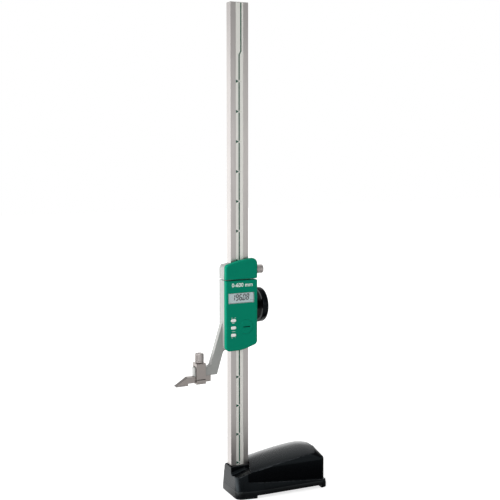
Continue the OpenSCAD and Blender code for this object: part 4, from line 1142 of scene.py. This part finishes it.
@dataclass
class Knob:
    """Knurled head of a hand screw, on its neck and shank, turned as one piece."""

    node: str
    line: Line
    head_l: float
    neck_l: float
    shank_r: float
    neck_r: float = 4.6 * MM
    top_round: float = 0.8 * MM
    foot_round: float = 0.5 * MM
    collar: float = 2.2 * MM
    groove: float = 0.7 * MM
    dimple_r: float = 3.2 * MM
    dimple: float = 0.5 * MM
    fine: float = 0.2 * MM
    ridges: int = 120
    ridge_depth: float = 0.13 * MM

    def build(self, bench: Bench) -> None:
        """Turns the screw, knurls its head and lets it ride on its own body.

        Args:
            bench: Where pieces are made and dressed.
        """
        box = Box.of(self.node)
        along = self.line.along
        axle = Axle(self.line, box.middle - along * along.dot(box.middle))
        low, high = along.dot(box.low), along.dot(box.high)
        radius = box.size.dot(self.line.out) / 2
        head = high - self.head_l
        neck, step = head - self.neck_l, head + self.collar
        waist, floor = radius - self.groove, high - self.dimple
        screw = Blank()
        screw.turn([
            (low, 0.0, 0.0), (low, self.shank_r, self.fine), (neck, self.shank_r, 0.0),
            (neck, self.neck_r, 0.0), (head, self.neck_r, 0.0), (head, radius, self.foot_round),
            (step, radius, self.fine), (step, waist, 0.0), (step + self.groove, waist, 0.0),
            (step + self.groove, radius, self.fine), (high, radius, self.top_round),
            (high, self.dimple_r, self.fine), (floor, self.dimple_r - self.dimple, 0.0),
            (floor, 0.0, 0.0)], axle, self.ridges)
        screw.knurl(axle, radius, step + self.groove / 2, high, self.ridge_depth, self.ridges)
        bench.place(f"{self.node}_piece", screw, self.node, TURNED_STEEL, self.node)


@dataclass
class ClampBlock:
    """Clamp block with its green cover, bracket, fine adjusting nut and clamp knob."""

    block_round: float = 0.5 * MM
    cover_round: float = 0.3 * MM
    bracket_round: float = 0.5 * MM
    nut_bore: float = 2.53 * MM
    nut_round: float = 0.7 * MM
    ridges: int = 112
    ridge_depth: float = 0.28 * MM
    knob: Knob = field(default_factory=lambda: Knob(
        "clamp_screw", Line.X, head_l=14.1 * MM, neck_l=2.7 * MM, shank_r=3.0 * MM))

    def build(self, bench: Bench) -> None:
        """Builds the block, the cover, the bracket, the nut and the knob.

        Args:
            bench: Where pieces are made and dressed.
        """
        bench.soften("clamp_block", "clamp_block", CREAM, self.block_round)
        bench.soften("clamp_cover", "clamp_block", GREEN, self.cover_round)
        bench.soften("nut_bracket", "clamp_block", CREAM, self.bracket_round)
        box = Box.of("fine_nut")
        axle = Axle(Line.Z, Vector((box.middle.x, box.middle.y, 0.0)))
        radius, low, high = box.size.x / 2, box.low.z, box.high.z
        nut = Blank()
        nut.turn([
            (low, self.nut_bore, 0.0), (low, radius, self.nut_round), (high, radius, self.nut_round),
            (high, self.nut_bore, 0.0)], axle, self.ridges, closed=True)
        nut.knurl(axle, radius, low, high, self.ridge_depth, self.ridges)
        bench.place("fine_nut_piece", nut, "fine_nut", BRASS, "fine_nut")
        self.knob.build(bench)


@dataclass
class Scriber:
    """Scriber with its hard tip, the stirrup that holds it and the thumb screw."""

    shank_round: float = 0.3 * MM
    tip_round: float = 0.12 * MM
    stirrup_round: float = 0.4 * MM
    groove_d: float = 0.9 * MM
    groove_sink: float = 1.5 * MM
    knob: Knob = field(default_factory=lambda: Knob(
        "thumb_screw", Line.Z, head_l=15.4 * MM, neck_l=0.4 * MM, shank_r=2.5 * MM, top_round=2.0 * MM))

    def build(self, bench: Bench) -> None:
        """Builds the scriber, its tip, the stirrup and the screw.

        Args:
            bench: Where pieces are made and dressed.
        """
        bench.soften("scriber", "scriber", LAPPED_STEEL, self.shank_round)
        bench.soften("carbide_tip", "scriber", HARD_TIP, self.tip_round)
        bench.place("clamp_stirrup_piece", self._stirrup(), "clamp_stirrup", LAPPED_STEEL, "clamp_stirrup")
        self.knob.build(bench)

    def _stirrup(self) -> Blank:
        """Copies the stirrup with rounded edges, and sinks the grooves along its cheeks, with painted shade
        on their floors.

        Returns:
            The blank of the stirrup.
        """
        blank = Blank("clamp_stirrup")
        box = Box.of("clamp_stirrup")
        for side, face in ((1, box.low.y), (-1, box.high.y)):
            floor = [v for v in blank.bm.verts if abs((v.co.y - face) * side - self.groove_d) < ON_FACE]
            # The groove floors are noted for painted shade.
            blank.sink(floor, Vector((0.0, side * self.groove_sink, 0.0)))
        blank.round_edges(blank.hard_edges(), self.stirrup_round)
        return blank


@dataclass(frozen=True)
class Softbox:
    """One soft lamp: where it hangs, its size, its power in watts, its aim, and whether gloss shows it."""

    name: str
    at: Point
    width: float
    height: float
    power: float
    aim: Point = (0.0, 0.0, 0.40)
    glossy: bool = True


@dataclass
class Studio:
    """Pale floor, soft lamps, white surround and the camera at the photograph's angle.

    The gloss ramps say how bright the floor and the surround are in reflections. Those of the floor run
    over places on it, and those of the surround over the X, Y or Z part of a direction.
    """

    floor_half: float = 6.0
    floor_cells: int = 4
    floor_drop: float = 0.2 * MM
    floor_colour: Colour = (0.5, 0.5, 0.5)
    floor_rough: float = 0.9
    floor_glow: Ramp = (0.3, 1.3, 0.70, 1.0)
    surround: float = 0.42
    gloss_floor_lean: float = 0.6
    gloss_floor_far: Ramp = (-0.36, -0.16, 0.78, 0.02)
    gloss_floor_back: Ramp = (-0.06, 0.0, 0.0, 1.38)
    gloss_floor_left: Ramp = (-0.05, -0.10, 0.0, 6.4)
    gloss_floor_reach: Ramp = (-0.22, -0.13, 0.0, 1.0)
    gloss_floor_near: Ramp = (-0.02, 0.08, 1.0, 0.0)
    gloss_floor_fore: Ramp = (-0.14, -0.07, 0.0, 1.0)
    gloss_front: Ramp = (-0.3, 0.5, 0.44, 0.08)
    gloss_front_rise: Ramp = (0.35, 0.95, 1.0, 0.45)
    gloss_back: Ramp = (-0.3, 0.6, 0.0, 1.12)
    gloss_rise: Ramp = (0.06, 0.45, 1.0, 0.20)
    gloss_turn: Ramp = (0.0, 0.60, 1.0, 2.20)
    gloss_gap: Ramp = (-0.78, -0.58, 0.15, 1.0)
    gloss_side: Ramp = (0.50, 0.80, 1.0, 0.20)
    eye: Point = (-0.6364, -1.3803, 0.6029)
    yaw: float = 25.547
    pitch: float = 4.768
    sensor: float = 36.0
    lens: float = 64.95
    shift: float = -0.0671
    sight_from: float = 0.05
    sight_to: float = 30.0
    lamps: tuple[Softbox, ...] = (
        Softbox("left_softbox", (-1.55, 0.0, 0.75), 1.5, 2.2, 16.0),
        Softbox("left_wash", (-1.6, 0.3, 0.5), 0.8, 1.2, 18.0, glossy=False),
        Softbox("rear_left_softbox", (-1.05, 1.35, 0.35), 1.6, 1.2, 2.7),
        Softbox("front_left_softbox", (-1.0, -1.9, 1.0), 0.9, 1.3, 15.5),
        Softbox("top_softbox", (0.05, 0.10, 2.1), 1.4, 1.4, 9.0, aim=(0.05, 0.0, 0.0)),
        Softbox("front_fill", (0.75, -1.7, 0.62), 0.5, 0.6, 0.8, aim=(0.0, 0.0, 0.5)),
        Softbox("rear_fill", (1.05, 1.6, 1.7), 1.2, 1.4, 2.8, aim=(0.0, 0.0, 0.2)),
    )

    def build(self) -> None:
        """Builds the floor, the lamps, the surround and the camera."""
        self._floor()
        for lamp in self.lamps:
            self._lamp(lamp)
        self._world()
        self._camera()
        bpy.context.scene.view_settings.view_transform = "Standard"

    @staticmethod
    def _sight(wiring: Wiring) -> tuple[NodeSocket, NodeSocket]:
        """Tells rays of direct sight, also through glass, and rays seen in gloss.

        Args:
            wiring: Wiring of the floor or of the surround.

        Returns:
            The sockets that are 1 for the one and for the other.
        """
        path = wiring.node("LightPath").outputs
        seen = wiring.math("MAXIMUM", path["Is Camera Ray"], path["Is Transmission Ray"])
        return seen, path["Is Glossy Ray"]

    def _floor(self) -> None:
        """Lays the floor: pale, with a glow for direct sight, so that it is white outside the shadow."""
        bm = bmesh.new()
        bmesh.ops.create_grid(bm, x_segments=self.floor_cells, y_segments=self.floor_cells,
                              size=self.floor_half, matrix=Matrix.Translation((0.0, 0.0, -self.floor_drop)))
        mesh = bpy.data.meshes.new("floor")
        bm.to_mesh(mesh)
        bm.free()
        floor = bpy.data.objects.new("floor", mesh)
        bpy.context.scene.collection.objects.link(floor)
        made = bpy.data.materials.new("pale_floor")
        made.use_nodes = True
        wiring = Wiring(made.node_tree)
        place = wiring.node("TexCoord").outputs["Object"]
        away = wiring.node("VectorMath", {0: place}, operation="LENGTH").outputs["Value"]
        x, y, _ = wiring.node("SeparateXYZ", {0: place}).outputs
        aside = wiring.math("MULTIPLY_ADD", wiring.math("MINIMUM", x, 0.0), self.gloss_floor_lean, y)
        left = wiring.product((x, self.gloss_floor_left), (x, self.gloss_floor_reach),
                              (y, self.gloss_floor_near), (y, self.gloss_floor_fore))
        gloss = wiring.math("ADD", wiring.ramp(aside, self.gloss_floor_back), left)
        gloss = wiring.math("ADD", gloss, wiring.ramp(y, self.gloss_floor_far))
        seen, in_gloss = self._sight(wiring)
        glow = wiring.math("MULTIPLY_ADD", seen, wiring.ramp(away, self.floor_glow),
                           wiring.math("MULTIPLY", in_gloss, gloss))
        wiring.feed(made.node_tree.nodes["Principled BSDF"], {
            "Base Color": wiring.blend(in_gloss, self.floor_colour, (0.0, 0.0, 0.0)),
            "Roughness": self.floor_rough, "Specular IOR Level": 0.0,
            "Emission Color": (1.0, 1.0, 1.0, 1.0), "Emission Strength": glow})
        floor.data.materials.append(made)

    @staticmethod
    def _lamp(lamp: Softbox) -> None:
        """Hangs one soft lamp.

        Args:
            lamp: The lamp.
        """
        light = bpy.data.lights.new(lamp.name, "AREA")
        light.shape = "RECTANGLE"
        light.size, light.size_y, light.energy = lamp.width, lamp.height, lamp.power
        holder = bpy.data.objects.new(lamp.name, light)
        holder.location = lamp.at
        holder.rotation_euler = (Vector(lamp.aim) - Vector(lamp.at)).to_track_quat("-Z", "Y").to_euler()
        holder.visible_camera = False
        holder.visible_glossy = lamp.glossy
        bpy.context.scene.collection.objects.link(holder)

    def _world(self) -> None:
        """Makes the surround: white to direct sight, dimmer towards the room in gloss, soft as light."""
        world = bpy.data.worlds.new("surround")
        world.use_nodes = True
        wiring = Wiring(world.node_tree)
        direction = wiring.node("TexCoord").outputs["Generated"]
        x, y, z = wiring.node("SeparateXYZ", {0: direction}).outputs
        back = wiring.product((y, self.gloss_back), (z, self.gloss_rise), (x, self.gloss_turn),
                              (x, self.gloss_gap))
        front = wiring.product((y, self.gloss_front), (z, self.gloss_front_rise))
        gloss = wiring.math("ADD", back, front)
        gloss = wiring.math("MULTIPLY", gloss, wiring.ramp(x, self.gloss_side))
        gloss = wiring.math("SUBTRACT", gloss, self.surround)
        seen, in_gloss = self._sight(wiring)
        strength = wiring.math("MULTIPLY_ADD", seen, 1.0 - self.surround, self.surround)
        strength = wiring.math("MULTIPLY_ADD", in_gloss, gloss, strength)
        wiring.feed(world.node_tree.nodes["Background"], {
            "Color": (1.0, 1.0, 1.0, 1.0), "Strength": strength})
        bpy.context.scene.world = world

    def _camera(self) -> None:
        """Sets the camera where the photograph was taken from."""
        data = bpy.data.cameras.new("camera")
        data.sensor_width, data.lens, data.shift_y = self.sensor, self.lens, self.shift
        data.clip_start, data.clip_end = self.sight_from, self.sight_to
        camera = bpy.data.objects.new("camera", data)
        yaw, pitch = math.radians(self.yaw), math.radians(self.pitch)
        sight = Vector((math.sin(yaw) * math.cos(pitch), math.cos(yaw) * math.cos(pitch), -math.sin(pitch)))
        camera.location = self.eye
        camera.rotation_euler = sight.to_track_quat("-Z", "Y").to_euler()
        bpy.context.scene.collection.objects.link(camera)
        bpy.context.scene.camera = camera


def main() -> None:
    """Builds every sub-assembly in order, dresses the remaining nodes and sets the studio."""
    logging.basicConfig(level=logging.INFO, format="%(name)s: %(message)s")
    bench = Bench(Paintbox())
    for assembly in (Base(), Column(), Slider(), Keys(), Handwheel(), ClampBlock(), Scriber()):
        assembly.build(bench)
    bench.dress_nodes()
    Studio().build()


if __name__ == "__main__":
    main()
